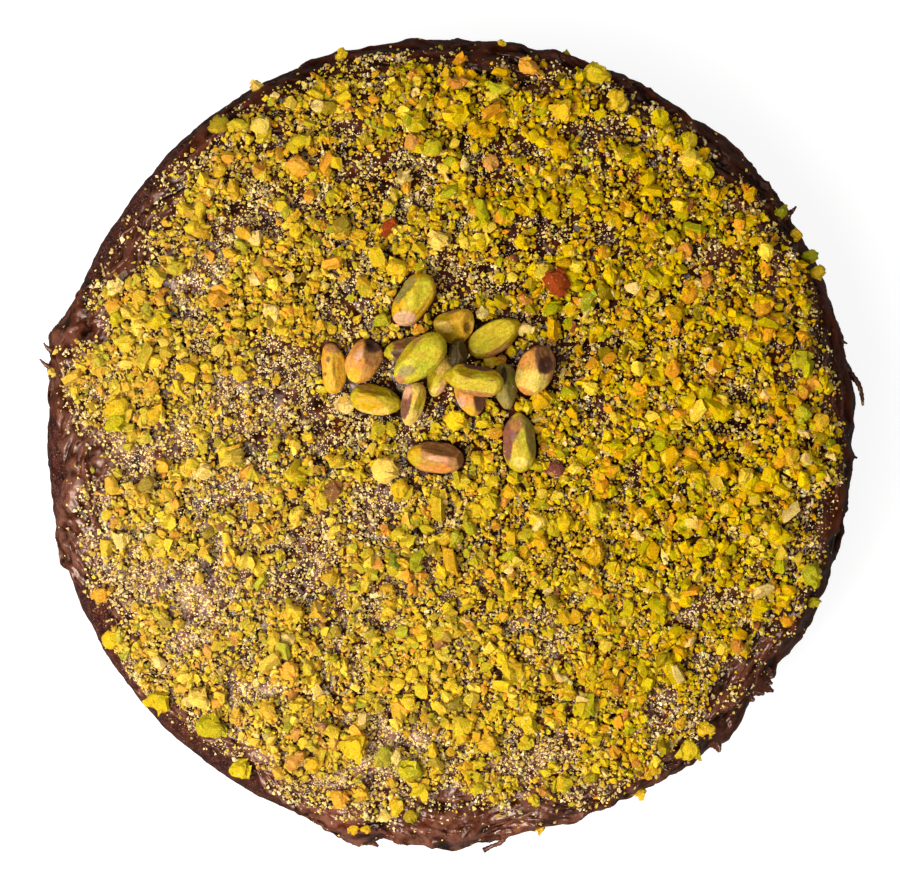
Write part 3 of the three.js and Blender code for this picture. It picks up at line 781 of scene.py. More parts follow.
def kernel_colours(kernel, offset, past, wrinkles, seed):
    """The flesh, its flat sides and its patches of skin. Each border is ragged, with a thin line along it."""
    x, y, z = offset.T
    colours = np.tile(linear(FLESH[kernel["flesh"]]), (len(x), 1))
    ragged = rough(x, y, z, 1.6, seed + 9) + 0.4 * rough(x, y, z, 0.6, seed + 11)
    for (*side, name), beyond in zip(kernel["faces"], past):
        if name:
            share = smoothstep(beyond + 0.14 * ragged, -0.12, 0.2)[:, None]
            colours = between(colours, linear(FLESH[name]), share)
        rim = 0.16 * np.exp(-((beyond - 0.02) / 0.16) ** 2)[:, None]
        colours = between(colours, linear(FLESH["tan"]), rim)
    for px, py, radius, stretch, heading, name in kernel["patches"]:
        forth, side = along_across(x - px, y - py, math.radians(heading))
        apart = np.hypot(forth / stretch, side) / radius + 0.3 * ragged
        colours = between(colours, linear(FLESH[name]), smoothstep(apart, 1.16, 0.86)[:, None])
        colours = colours * (1 - 0.16 * np.exp(-((apart - 1.02) / 0.07) ** 2))[:, None]
    # Painted shade: each notch is darkened towards its middle.
    for px, py, pz, radius in kernel["bites"]:
        apart = np.linalg.norm(offset - np.array([px, py, pz]), axis=1) / radius
        colours = colours * (1 - 0.75 * smoothstep(apart, 0.95, 0.5))[:, None]
    blotches = rough(x, y, z, 2.4, seed + 15)
    colours = colours * (1 + np.stack([0.1 * blotches, 0.05 * blotches, -0.15 * blotches], axis=1))
    # Painted shade and light: the wrinkles' grooves are darker and their crests paler. The rest is uneven
    # tone at random.
    shade = 1.0 + 0.11 * wrinkles + 0.14 * rough(x, y, z, 0.8, seed + 13)
    return np.clip(colours * shade[:, None], 0, 1)


# ---------------------------------------------------------------- the shapes of chopped nuts


def shape_arrays(bm):
    """A shape's points, faces and which faces are cuts, one unit long and in the middle."""
    outward_normals(bm)
    bm.verts.index_update()
    verts = verts_of(bm)
    faces = np.array([[vert.index for vert in face.verts] for face in bm.faces])
    cut = np.array([face.material_index == 1 for face in bm.faces])
    bm.free()
    return {"verts": one_unit_long(verts), "faces": faces, "cut": cut}


def one_unit_long(verts):
    verts = verts - (verts.min(axis=0) + verts.max(axis=0)) / 2
    return verts / np.ptp(verts[:, 0])


def random_facing(rng):
    return Vector(rng.normal(size=3)).normalized()


def lump(rng, points, cuts, crumbly):
    """An uneven lump one unit long with flat cuts. A crumbly one has a rough surface."""
    bm = bmesh.new()
    for number in range(points):
        bm.verts.new(random_facing(rng) * 0.5 * rng.uniform(0.78, 1))
    hull = bmesh.ops.convex_hull(bm, input=bm.verts[:])
    left_over = hull["geom_interior"] + hull["geom_unused"]
    unused = {part for part in left_over if isinstance(part, bmesh.types.BMVert)}
    bmesh.ops.delete(bm, geom=list(unused), context="VERTS")
    for number in range(cuts):
        facing = random_facing(rng)
        middle = facing * rng.uniform(0.2, 0.36)
        cut = bmesh.ops.bisect_plane(
            bm, geom=everything(bm), dist=1e-4, plane_co=middle, plane_no=facing, clear_outer=True)
        rim = [part for part in cut["geom_cut"] if isinstance(part, bmesh.types.BMEdge)]
        for face in bmesh.ops.holes_fill(bm, edges=rim)["faces"]:
            face.material_index = 1
    bmesh.ops.triangulate(bm, faces=bm.faces[:])
    if crumbly:
        bmesh.ops.subdivide_edges(bm, edges=bm.edges[:], cuts=1, use_grid_fill=True)
        smooth_verts(bm, 0.4)
        for vert in bm.verts:
            vert.co += Vector(rng.normal(size=3)) * crumbly
        bmesh.ops.triangulate(bm, faces=bm.faces[:])
    bmesh.ops.scale(bm, vec=Vector((1, rng.uniform(0.6, 0.95), rng.uniform(0.5, 0.8))), verts=bm.verts[:])
    return shape_arrays(bm)


def chopped_shape(rng, points, cuts, crumbly, bits):
    """A chopped piece one unit long: a lump with smaller broken bits that stand out of it."""
    parts = [lump(rng, points, cuts, crumbly)]
    for number in range(bits):
        bit = lump(rng, 8, 0, 0)
        place = rng.normal(size=3)
        place = place / np.linalg.norm(place) * np.array([0.42, 0.32, 0.18])
        bit["verts"] = bit["verts"] * rng.uniform(0.36, 0.66) + place
        parts.append(bit)
    starts = np.cumsum([0] + [len(part["verts"]) for part in parts])
    return {
        "verts": one_unit_long(np.concatenate([part["verts"] for part in parts])),
        "faces": np.concatenate([part["faces"] + start for part, start in zip(parts, starts)]),
        "cut": np.concatenate([part["cut"] for part in parts]),
    }


def crumb_shape(rng, top):
    """A crumb one unit long: a skewed three-sided stub with a top of that share of its foot's radius."""
    bm = bmesh.new()
    depth = rng.uniform(0.5, 0.8)
    bmesh.ops.create_cone(bm, cap_ends=True, segments=3, radius1=0.5, radius2=0.5 * top, depth=depth)
    bmesh.ops.triangulate(bm, faces=bm.faces[:])
    for vert in bm.verts:
        vert.co += Vector(rng.uniform(-0.16, 0.16, size=3))
    for face in bm.faces:
        face.material_index = rng.integers(2)
    return shape_arrays(bm)


def nut_shapes(rng):
    return {
        "large": [chopped_shape(rng, 24, 1, 0.026, 4) for number in range(18)],
        "medium": [chopped_shape(rng, 14, 1, 0, 2) for number in range(30)],
        "small": [chopped_shape(rng, 12, 1, 0, 0) for number in range(16)],
        "crumb": [crumb_shape(rng, 0.6) for number in range(10)],
        "dust": [crumb_shape(rng, 0) for number in range(8)],
    }


# ---------------------------------------------------------------- where nuts lie on the iced cake

GRID_STEP = 0.5
GRID_REACH = 124
TRIAL_REACH = 118  # places are drawn from a square that reaches this far

# Streaks of thin cover, where the icing shows: place, half length, half width, heading and strength. Where
# the strength is below zero the cover is thick.
THIN_STREAKS = [
    (-48, 12, 22, 10, 20, 0.75), (-62, -14, 18, 10, 60, 0.65), (-34, 2, 14, 9, 20, 0.8),
    (-4, 20, 26, 8, -5, 0.7), (23, 34, 14, 7, 150, 0.5), (-2, 78, 30, 9, 14, 0.45),
    (-60, 58, 24, 10, 45, 0.7), (-103.6, 33.6, 5, 4, 20, 1.8), (-34, -26, 20, 8, 35, 0.7),
    (-14, -12, 12, 5, 30, 0.4), (-4, 40, 16, 5, 0, 0.5), (-40, -43, 16, 8, 40, 0.5),
    (2, 49, 16, 6, 20, 0.6), (-26, 46, 14, 4, 30, 0.4), (-24, 62, 14, 5, 30, 0.35),
    (36, 24, 10, 5, 80, 0.5), (66, 62, 12, 5, 120, 0.4), (22, -58, 14, 6, 30, 0.35),
    (-70, -50, 16, 8, 120, 0.45), (-46, -66, 12, 6, 40, 0.4), (62, -72, 16, 6, 40, 0.45),
    (-76, 42, 10, 6, 60, 0.4), (-105, 23, 6, 5, 100, -0.8), (35, -3, 14, 12, 90, -0.6),
    (60, -20, 34, 16, 60, -0.25), (20, -34, 26, 14, 20, -0.25),
]
NUT_MARGIN = 0.2
# Features of the rim where the nuts stop short of the icing's edge, or below zero run nearer to it.
BARE = [
    (186, 20, 11.5), (145, 16, 7), (85, 26, 6), (213, 12, -4.5), (238, 12, 3), (262, 15, 4), (322, 13, 9.5),
    (288, 12, 5.5), (272, 11, 8.5), (170.5, 4, -6), (163, 4, 3), (45, 14, 2), (355, 16, 0.5),
]
HOLLOW_STEPS = 30  # how often the surface is smoothed to find its creases
BLOOM_AND_SHEEN_HEADING = math.radians(52)  # the icing is palest on the side away from this, where the lights are: a dusty haze and a painted sheen


def run_at(reach, angle):
    """The run at which the sponge's surface is this far from the axis."""
    flat = FLAT_RADIUS + outline_radius(angle) - TIN_RADIUS
    over = np.clip((reach - flat) / SHOULDER_WIDTH, 0, 1)
    past_flat = FLAT_RADIUS + np.arcsin(over) * 2 / math.pi * SHOULDER_RUN
    return np.where(reach < flat, reach * FLAT_RADIUS / flat, past_flat)


def surface_heights():
    """The height of the iced cake on a square grid."""
    side = np.arange(-GRID_REACH, GRID_REACH + GRID_STEP / 2, GRID_STEP)
    x, y = np.meshgrid(side, side)
    angle, reach = np.arctan2(y, x), np.hypot(x, y)
    run = run_at(reach, angle)
    for step in range(3):
        height, out, up = on_sponge(run, angle)[1:]
        off = np.where(run < icing_end(angle), icing_off(run, angle), 0)
        run = run_at(reach - off * out, angle)
    return height + off * up


def grid_cells(places):
    """The column and row of the grid that each place is in."""
    return np.round((places + GRID_REACH) / GRID_STEP).astype(int)


def kernel_cover(kernels, heights):
    """Where the whole kernels keep loose pieces off: under them and close beside them."""
    covered = np.zeros(heights.shape, dtype=bool)
    for mesh in kernels:
        column, row = grid_cells(vertex_places(mesh)[:, :2]).T
        for step_row, step_column in np.ndindex(3, 3):
            covered[row + step_row - 1, column + step_column - 1] = True
    return covered


def nut_limit(angle):
    return np.minimum(icing_run(angle), FLAT_RADIUS + 9) - NUT_MARGIN - summed(BARE, angle)


def cover(x, y):
    """How thickly the nuts lie at a place, from 0 to 1."""
    along, across = along_across(x, y, STROKE_HEADING)
    thick = 0.66 + 0.36 * lumps(x, y, 0, 10, 61) + 0.36 * lumps(along / 2.2, across, 0, 8, 62)
    thick = thick + 0.58 * lumps(x, y, 0, 4.4, 64)
    for streak_x, streak_y, half_length, half_width, heading, strength in THIN_STREAKS:
        forth, side = along_across(x - streak_x, y - streak_y, math.radians(heading))
        thick = thick - strength * np.exp(-((forth / half_length) ** 2 + (side / half_width) ** 2))
    within = nut_limit(np.arctan2(y, x)) + 3.5 * lumps(x, y, 0, 7, 63) - np.hypot(x, y)
    level = np.where(within > -4, 0.06 + 0.94 * smoothstep(within, -1.5, 7), 0.02)
    return np.clip(thick, 0.06, 1) * level * (within > -10) * (thick > -0.7)


def hollows(mesh):
    """How far each point lies under the smoothed surface, in millimetres. It is below zero on ridges."""
    count = len(mesh.vertices)
    facing = np.zeros(count * 3)
    mesh.vertices.foreach_get("normal", facing)
    edges = np.zeros(len(mesh.edges) * 2, dtype=np.int64)
    mesh.edges.foreach_get("vertices", edges)
    first, second = edges.reshape(-1, 2).T
    near = np.bincount(first, minlength=count) + np.bincount(second, minlength=count)
    coords = vertex_places(mesh)
    smooth = coords.copy()
    for step in range(HOLLOW_STEPS):
        for axis in range(3):
            line = smooth[:, axis]
            total = np.bincount(first, line[second], count) + np.bincount(second, line[first], count)
            smooth[:, axis] = 0.5 * line + 0.5 * total / near
    return ((smooth - coords) * facing.reshape(-1, 3)).sum(axis=1)


def strew(mesh):
    """Marks how much ground nut shows on each point of the icing, how pale it is with a dusty haze and a
    painted sheen, and its creases and ridges, where shade and highlights are painted.
    """
    x, y = vertex_places(mesh)[:, :2].T
    inner = smoothstep(nut_limit(np.arctan2(y, x)) - np.hypot(x, y), -2, 6)
    hidden = smoothstep(cover(x, y), 0.1, 0.7)
    thick = inner * (0.62 - 0.0016 * (x + y)) * (1 - 0.8 * hidden) + 0.05
    toward = -along_across(x, y, BLOOM_AND_SHEEN_HEADING)[0] / TIN_RADIUS
    heap = np.exp(-((x + 2) ** 2 + (y - 18) ** 2) / 34 ** 2)
    # Painted sheen, with a dusty haze: paler towards the lights at the lower left, and less of it near the
    # heap of kernels, as painted shade there.
    bloom_and_painted_sheen = np.clip(0.24 + 0.5 * toward - 0.34 * heap, 0.02, 0.8)
    # Painted shade: less sheen where the nuts lie thick, and less beyond the nuts' area.
    bloom_and_painted_sheen = bloom_and_painted_sheen * (1 - 0.6 * hidden * inner) * (0.45 + 0.55 * inner)
    for name, values in (("strewn", thick), ("bloom_and_painted_sheen", bloom_and_painted_sheen), ("hollow", hollows(mesh))):
        layer = mesh.attributes.new(name, "FLOAT", "POINT")
        layer.data.foreach_set("value", values.astype(np.float32))


def dust_clumps(x, y):
    """How likely dust is to stay at a place: in clumps with clear icing between, and less at the heap."""
    gathered = lumps(x, y, 0, 2.3, 65) + 0.6 * lumps(x, y, 0, 5.5, 66) - 0.002 * (x + y)
    clumped = smoothstep(gathered, -0.35, 0.5)
    heap = np.exp(-(((x + 4) / 30) ** 2 + ((y - 19) / 15) ** 2))
    return (0.1 + 0.9 * clumped) * (1 - 0.7 * heap)


def scatter_places(rng, count, evenness, clumped):
    """Places in the nuts' area, more of them where the cover is thick."""
    places = np.zeros((0, 2))
    while len(places) < count:
        trial = rng.uniform(-TRIAL_REACH, TRIAL_REACH, size=(count, 2))
        thick = cover(trial[:, 0], trial[:, 1])
        chance = np.where(thick > 0, evenness + (1 - evenness) * smoothstep(thick, 0, 0.75), 0)
        chance = chance * smoothstep(thick, 0, 0.06)
        if clumped:
            chance = chance * dust_clumps(trial[:, 0], trial[:, 1])
        places = np.concatenate([places, trial[rng.uniform(size=count) < chance]])
    return places[:count]


# ---------------------------------------------------------------- strewing the nuts

# The colours of chopped nut flesh as they look, with how common each is.
NUT_COLOURS = {
    "lemon": ((220, 193, 0), 28), "gold": ((211, 168, 0), 21), "yellow_green": ((196, 180, 0), 18),
    "lime": ((172, 172, 8), 6), "pale": ((232, 206, 64), 13), "cream": ((234, 210, 132), 4),
    "orange": ((226, 162, 32), 7), "tan": ((206, 142, 54), 2.5), "olive": ((152, 134, 4), 4),
    "skin": ((132, 80, 48), 0.9),
}
CRUMB_COLOURS = {
    "yellow": ((230, 198, 6), 40), "pale": ((240, 216, 84), 26), "cream": ((248, 230, 172), 10),
    "gold": ((208, 160, 4), 22), "lime": ((174, 168, 14), 4), "skin": ((140, 88, 54), 3),
}
DUST_COLOURS = {
    "cream": ((254, 242, 204), 46), "pale": ((246, 224, 140), 34), "yellow": ((230, 198, 60), 18),
    "skin": ((160, 108, 74), 3),
}
PLACED_COLOURS = {
    "yellow": (222, 190, 40), "pale": (234, 206, 100), "lime": (190, 182, 34), "green": (166, 168, 32),
    "dark_green": (128, 134, 36), "yellow_green": (206, 186, 34), "gold": (218, 176, 42),
    "orange": (228, 168, 58), "tan": (208, 154, 74), "red_brown": (150, 66, 24), "mauve": (140, 84, 78),
    "olive": (160, 144, 34),
}

# Pieces that stand out, each where the real one lies: place, length, heading and colour.
PLACED_NUTS = [
    (-82, 33.8, 8, 10, "yellow_green"), (-18.1, -8.7, 8.4, 70, "pale"), (30.3, 44.6, 8.6, 160, "red_brown"),
    (39.2, 39.2, 7.2, 60, "green"), (29.5, -8.4, 5.6, 20, "mauve"), (-9, -33.8, 7, 60, "green"),
    (-15.6, -34.1, 5.4, 110, "dark_green"), (-14.1, -14.1, 6.4, 75, "yellow"),
    (-14.6, 48.4, 8.4, 115, "yellow"), (104.6, 53.7, 6.2, 0, "green"), (106.2, 48.3, 5.4, 30, "yellow"),
    (98.8, 58.6, 4.6, 90, "yellow"), (95.8, 66.3, 5, 40, "green"), (68.5, -88.2, 7.6, 60, "yellow_green"),
    (54, -100.5, 4.6, 0, "yellow"), (25.5, -110, 5, 10, "gold"), (103.4, -46, 4.6, 0, "lime"),
    (-55.2, 101.2, 4.2, 0, "pale"), (-31, 109.6, 4.2, 30, "yellow"), (32, 92.2, 7.2, 20, "yellow"),
    (22.8, 105.4, 7.8, 150, "orange"), (41.7, 103.6, 8.2, 170, "yellow_green"),
    (46.6, 96.2, 6.2, 60, "yellow"), (-5, 82.2, 6.2, 40, "lime"), (-10.4, 83.9, 5, 80, "tan"),
    (-42.4, 83.7, 7.8, 20, "yellow_green"), (-42.2, 77, 7.6, 160, "orange"), (-65.2, 89, 6.6, 30, "olive"),
    (-53.5, 88.8, 6.6, 20, "pale"), (-74, 19.2, 7.2, 140, "yellow"), (-64.9, 40.3, 6.6, 20, "orange"),
    (-3.3, 56.3, 6.4, 0, "pale"), (11.5, 78.2, 5.2, 0, "tan"), (95.9, -4.7, 6.2, 60, "gold"),
    (-42.6, -9, 8, 170, "yellow_green"), (-82.8, -74.2, 8.2, 165, "yellow_green"),
    (-67.1, -80.5, 9.2, 172, "lime"), (-70.3, -72.5, 7.4, 150, "pale"),
    (-58.9, -92.6, 6.6, 170, "yellow_green"), (-43.5, -90.6, 6, 10, "tan"),
    (-98.6, -43.7, 5.2, 50, "orange"), (102.4, -38.3, 7.4, 120, "green"), (68.5, -22.7, 5.4, 150, "pale"),
    (41.7, -20.4, 7.2, 80, "yellow_green"), (-17, 60, 6.2, 60, "red_brown"),
    (90.7, 32.9, 5.2, 30, "orange"), (99, 23.5, 7.2, 40, "lime"), (102.6, 15.5, 5.8, 60, "orange"),
    (99.6, 7.8, 6.8, 80, "green"), (104.6, 5, 5.8, 60, "gold"), (-94.8, 38.8, 4.8, 20, "orange"),
    (-93.9, 34.6, 5.2, 90, "lime"), (-94, 9.2, 7.6, 35, "yellow"), (-93.9, 4.6, 7, 40, "lime"),
    (-82.5, 7.3, 6.2, 30, "gold"), (-95.6, -56.6, 6.2, 60, "yellow"), (-26.4, -87.6, 8.6, 20, "yellow"),
    (-10.7, -92.5, 7.8, 170, "lime"), (-8.4, -99, 6.4, 10, "yellow_green"),
    (-30.7, -101, 5.6, 110, "orange"), (-15.3, -103.6, 5.6, 60, "yellow"), (-11, -106.4, 4.6, 20, "olive"),
    (-38.4, -91.6, 5.2, 30, "gold"), (-27.2, -110.4, 3.6, 20, "gold"), (-24, -110, 3.8, 0, "gold"),
    (72.5, -81.9, 5.6, 150, "yellow"), (65.4, -79.7, 4.6, 50, "gold"), (57.4, -94, 5.2, 20, "gold"),
    (13.8, 99.6, 6.8, 170, "lime"), (33.2, 109, 5.2, 80, "lime"), (14.8, 112.6, 2.8, 0, "yellow"),
    (-114.4, 19.4, 3.2, 110, "pale"), (-113.4, 25.4, 2.6, 40, "pale"),
]

# Every kind of scattered piece, in the order in which they fall: how many are drawn, the least and greatest
# length, how evenly they lie whatever the cover, how far they tilt in radians, what share sinks in, colours
# and shape.
NUT_KINDS = [
    ("nut_dust", 30000, 0.32, 0.85, 1.0, 1.5, 0.1, DUST_COLOURS, "dust"),
    ("nut_crumbs_pale", 15000, 0.6, 1.3, 0.9, 1.5, 0.1, DUST_COLOURS, "crumb"),
    ("nut_crumbs", 14000, 0.7, 1.5, 0.06, 1.5, 0.15, CRUMB_COLOURS, "crumb"),
    ("nuts_small_lower", 5200, 1.3, 2.5, 0.02, 0.9, 0.12, NUT_COLOURS, "small"),
    ("nuts_medium", 2300, 2.2, 4.6, 0.02, 0.5, 0.12, NUT_COLOURS, "medium"),
    ("nuts_large", 230, 4.2, 6.6, 0.1, 0.3, 0.1, NUT_COLOURS, "large"),
    ("nuts_small_upper", 3600, 1.1, 2.3, 0.02, 0.9, 0.12, NUT_COLOURS, "small"),
    ("nut_crumbs_upper", 9000, 0.6, 1.3, 0.06, 1.5, 0.1, CRUMB_COLOURS, "crumb"),
    ("nut_dust_upper", 16000, 0.3, 0.6, 0.3, 1.5, 0.1, DUST_COLOURS, "dust"),
]
NUT_SEED = 44710
# The pale colour of dust and of a painted sheen on the pieces.
DUST_AND_SHEEN_NUT = (238, 214, 150)
DUST_AND_SHEEN_HEADING = math.radians(20)  # the pieces are palest on the side away from this, where the lights are: more dust there, and a painted sheen
BRIGHTNESS = 0.82, 1.12  # how dark and how bright a piece's colour may be drawn
SHORT_BIAS = 1.6  # above 1, short pieces are more common than long ones
NUT_FLATNESS = 0.6
FOOTPRINT = 0.42  # how far from its middle a piece rests on others, as a share of its length
NUT_CREASE = math.radians(34)  # edges sharper than this stay crisp
PILE = 2.6  # how far above the icing a piece may rest
NUT_REACH = TIN_RADIUS - 1.5  # no loose piece lies further out than this
PLACED_REACH = TIN_RADIUS + 1


def draw_colours(rng, palette, count):
    colours, weights = zip(*palette.values())
    weights = np.array(weights, dtype=float)
    table = np.array([linear(colour) for colour in colours])
    chosen = rng.choice(len(table), size=count, p=weights / weights.sum())
    return table[chosen] * rng.uniform(*BRIGHTNESS, size=(count, 1))


def joined_pieces(name, shapes, rng, centres, sizes, turns, outside, inside):
    """One mesh of many copies of a few shapes. Each copy has its own outside and cut-face colour."""
    which = rng.integers(len(shapes), size=len(centres))
    all_verts, all_faces, all_colours = [], [], []
    start = 0
    for number, shape in enumerate(shapes):
        chosen = np.flatnonzero(which == number)
        local = shape["verts"][None] * sizes[chosen, None, None]
        placed = np.einsum("nij,nvj->nvi", turns[chosen], local) + centres[chosen, None, :]
        faces = shape["faces"][None] + (start + np.arange(len(chosen)) * len(shape["verts"]))[:, None, None]
        colours = np.where(shape["cut"][None, :, None], inside[chosen, None, :], outside[chosen, None, :])
        all_verts.append(placed.reshape(-1, 3))
        all_faces.append(faces.reshape(-1, 3))
        all_colours.append(colours.reshape(-1, 3))
        start += len(chosen) * len(shape["verts"])
    verts, faces = np.concatenate(all_verts), np.concatenate(all_faces)
    mesh = bpy.data.meshes.new(name)
    mesh.vertices.add(len(verts))
    mesh.vertices.foreach_set("co", (verts * MM).ravel())
    mesh.loops.add(faces.size)
    mesh.loops.foreach_set("vertex_index", faces.ravel())
    mesh.polygons.add(len(faces))
    mesh.polygons.foreach_set("loop_start", np.arange(len(faces)) * 3)
    mesh.update(calc_edges=True)
    mesh.shade_smooth()
    mesh.set_sharp_from_angle(angle=NUT_CREASE)
    paint(mesh, np.repeat(np.concatenate(all_colours), 3, axis=0), True)
    return mesh


def random_turns(rng, headings, tilt):
    """Turns for pieces with these headings about Z, each first tilted by up to tilt radians."""
    turns = np.zeros((len(headings), 3, 3))
    for number, heading in enumerate(headings):
        turns[number] = Euler((rng.uniform(-tilt, tilt), rng.uniform(-tilt, tilt), heading)).to_matrix()
    return turns


def drop(ground, heights, places, sizes, sink):
    """Lowers each piece onto what lies there, and raises the surface by it. Returns their middles."""
    centres = np.zeros((len(places), 3))
    cells = grid_cells(places)
    for number, size in enumerate(sizes):
        reach = max(1, int(round(size * FOOTPRINT / GRID_STEP)))
        column, row = cells[number]
        window = heights[row - reach:row + reach + 1, column - reach:column + reach + 1]
        rest = max(0.6 * window.mean() + 0.4 * window.max(), heights[row, column] - 0.1 * size)
        rest = min(rest, ground[row, column] + PILE)
        thick = size * NUT_FLATNESS
        middle = rest + thick * (0.5 - sink)
        centres[number] = (*places[number], middle)
        spread = np.arange(-reach, reach + 1) / (reach + 0.5)
        apart = spread[:, None] ** 2 + spread[None, :] ** 2
        top = middle + thick * 0.45 * np.sqrt(np.maximum(1 - apart, 0))
        np.maximum(window, np.where(apart < 1, top, -1), out=window)
    return centres


def paled_by_dust_and_sheen(colours, places):
    """Colours made paler towards the lights at the left: partly more dust on the pieces, partly a painted
    sheen.
    """
    toward = -(places @ np.array([math.cos(DUST_AND_SHEEN_HEADING), math.sin(DUST_AND_SHEEN_HEADING)])) / TIN_RADIUS
    return between(colours, linear(DUST_AND_SHEEN_NUT), np.clip(0.05 + 0.15 * toward, 0, 1)[:, None])


def placed_nuts():
    """The pieces that stand out: places, lengths, headings, and colours outside and on cut faces."""
    x, y, lengths, headings, names = zip(*PLACED_NUTS)
    inward = np.minimum(1, PLACED_REACH / np.hypot(x, y)[:, None])
    outside = np.array([linear(PLACED_COLOURS[name]) for name in names])
    inside = 0.6 * outside + 0.4 * linear(PLACED_COLOURS["yellow"])
    return np.stack([x, y], axis=1) * inward, lengths, np.radians(headings), outside, inside


def scatter_nuts(heights, covered, material):
    rng = np.random.default_rng(NUT_SEED)
    shapes = nut_shapes(rng)
    ground = heights.copy()
    for name, count, shortest, longest, evenness, tilt, sink, palette, shape in NUT_KINDS:
        places = scatter_places(rng, count, evenness, palette is DUST_COLOURS)
        sizes = shortest + (longest - shortest) * rng.uniform(size=len(places)) ** SHORT_BIAS
        column, row = grid_cells(places).T
        free = ~covered[row, column] & (np.hypot(places[:, 0], places[:, 1]) < NUT_REACH)
        places, sizes = places[free], sizes[free]
        headings = rng.uniform(0, TURN, len(places))
        outside = draw_colours(rng, palette, len(places))
        inside = 0.35 * outside + 0.65 * draw_colours(rng, palette, len(places))
        pieces = [places, sizes, headings, paled_by_dust_and_sheen(outside, places), paled_by_dust_and_sheen(inside, places)]
        if shape == "large":
            pieces = [np.concatenate(pair) for pair in zip(pieces, placed_nuts())]
        places, sizes, headings, outside, inside = pieces
        centres = drop(ground, heights, places, sizes, sink)
        turns = random_turns(rng, headings, tilt)
        mesh = joined_pieces(name, shapes[shape], rng, centres, sizes, turns, outside, inside)
        add_piece(mesh, material, "icing")


# ---------------------------------------------------------------- building materials


def new_material(name, roughness=0.5, gloss=0.5):
    material = bpy.data.materials.new(name)
    material.use_nodes = True
    tree = material.node_tree
    shader = tree.nodes["Principled BSDF"]
    shader.inputs["Roughness"].default_value = roughness
    shader.inputs["Specular IOR Level"].default_value = gloss
    return material, tree, shader


def feed(tree, value, socket):
    """Sets a socket, or links it when the value comes from another node. A colour is given as it looks."""
    if isinstance(value, bpy.types.NodeSocket):
        tree.links.new(value, socket)
    elif isinstance(value, tuple):
        socket.default_value = (*linear(value), 1)
    else:
        socket.default_value = value


def noise(tree, scale, detail, roughness):
    """A noise over the piece's own coordinates, in lumps of about one metre over scale."""
    coords = tree.nodes.new("ShaderNodeTexCoord")
    texture = tree.nodes.new("ShaderNodeTexNoise")
    texture.inputs["Detail"].default_value = detail
    texture.inputs["Roughness"].default_value = roughness
    tree.links.new(coords.outputs["Object"], texture.inputs["Vector"])
    feed(tree, scale, texture.inputs["Scale"])
    return texture.outputs["Fac"]


def mapped(tree, value, low, high, to_low, to_high):
    span = tree.nodes.new("ShaderNodeMapRange")
    given = {"Value": value, "From Min": low, "From Max": high, "To Min": to_low, "To Max": to_high}
    for name, amount in given.items():
        feed(tree, amount, span.inputs[name])
    return span.outputs["Result"]


def patchy(tree, scale, detail, roughness, low, high, to_low=0.0, to_high=1.0):
    """A noise, with its part from low to high spread from to_low to to_high."""
    return mapped(tree, noise(tree, scale, detail, roughness), low, high, to_low, to_high)


def worked_out(tree, operation, first, second):
    sum_node = tree.nodes.new("ShaderNodeMath")
    sum_node.operation = operation
    feed(tree, first, sum_node.inputs[0])
    feed(tree, second, sum_node.inputs[1])
    return sum_node.outputs["Value"]


def blend(tree, share, first, second, kind="MIX"):
    mix = tree.nodes.new("ShaderNodeMix")
    mix.data_type = "RGBA"
    mix.blend_type = kind
    feed(tree, share, mix.inputs["Factor"])
    feed(tree, first, mix.inputs["A"])
    feed(tree, second, mix.inputs["B"])
    return mix.outputs["Result"]


def multiplied(tree, first, second):
    return blend(tree, 1.0, first, second, "MULTIPLY")


def bump(tree, shader, height, distance, strength):
    node = tree.nodes.new("ShaderNodeBump")
    node.inputs["Distance"].default_value = distance
    node.inputs["Strength"].default_value = strength
    tree.links.new(height, node.inputs["Height"])
    tree.links.new(node.outputs["Normal"], shader.inputs["Normal"])


def by_ray(tree, kind, otherwise, when):
    """One value or colour for rays of a kind, and another for the rest."""
    seen = tree.nodes.new("ShaderNodeLightPath").outputs[kind]
    if isinstance(when, tuple):
        return blend(tree, seen, otherwise, when)
    return mapped(tree, seen, 0.0, 1.0, otherwise, when)


def attribute_value(tree, name):
    attribute = tree.nodes.new("ShaderNodeAttribute")
    attribute.attribute_name = name
    return attribute.outputs["Fac"]


def new_group(name, inputs, outputs):
    """An empty shader node group, with its inputs and outputs as name and kind."""
    group = bpy.data.node_groups.new(name, "ShaderNodeTree")
    for side, sockets in (("INPUT", inputs), ("OUTPUT", outputs)):
        for label, kind in sockets.items():
            group.interface.new_socket(name=label, in_out=side, socket_type="NodeSocket" + kind)
    start, end = group.nodes.new("NodeGroupInput"), group.nodes.new("NodeGroupOutput")
    return group, start.outputs, end.inputs


def placed_group(tree, group, **values):
    """Places a group in a material with these values. Returns its outputs."""
    node = tree.nodes.new("ShaderNodeGroup")
    node.node_tree = group
    for label, value in values.items():
        feed(tree, value, node.inputs[label])
    return node.outputs


# ---------------------------------------------------------------- materials

WHITE = (255, 255, 255)
GRAIN_COLOURS = (226, 196, 112), (250, 238, 202)
GRAIN_SIZES = 0.22, 0.5
SPONGE_DARK, SPONGE_LIGHT, SPONGE_SPECK = (48, 12, 3), (114, 53, 31), (150, 104, 88)
CHOCOLATE_DARK, CHOCOLATE_LIGHT = (26, 5, 0), (78, 32, 13)
# The colours of the painted sheen with a dusty haze, of the painted shade in creases and of the painted
# highlight on ridges.
PAINTED_SHEEN_AND_BLOOM, CREASE_PAINTED_SHADE, RIDGE_PAINTED_HIGHLIGHT = (138, 92, 74), (14, 3, 0), (124, 70, 48)
PRESSED_NUT = (236, 220, 140)
CHOCOLATE_GLOSS = 0.4
CHOCOLATE_GLOSS_TINT = (1.0, 0.8, 0.68, 1.0)
DRY_ROUGHNESS = 0.85


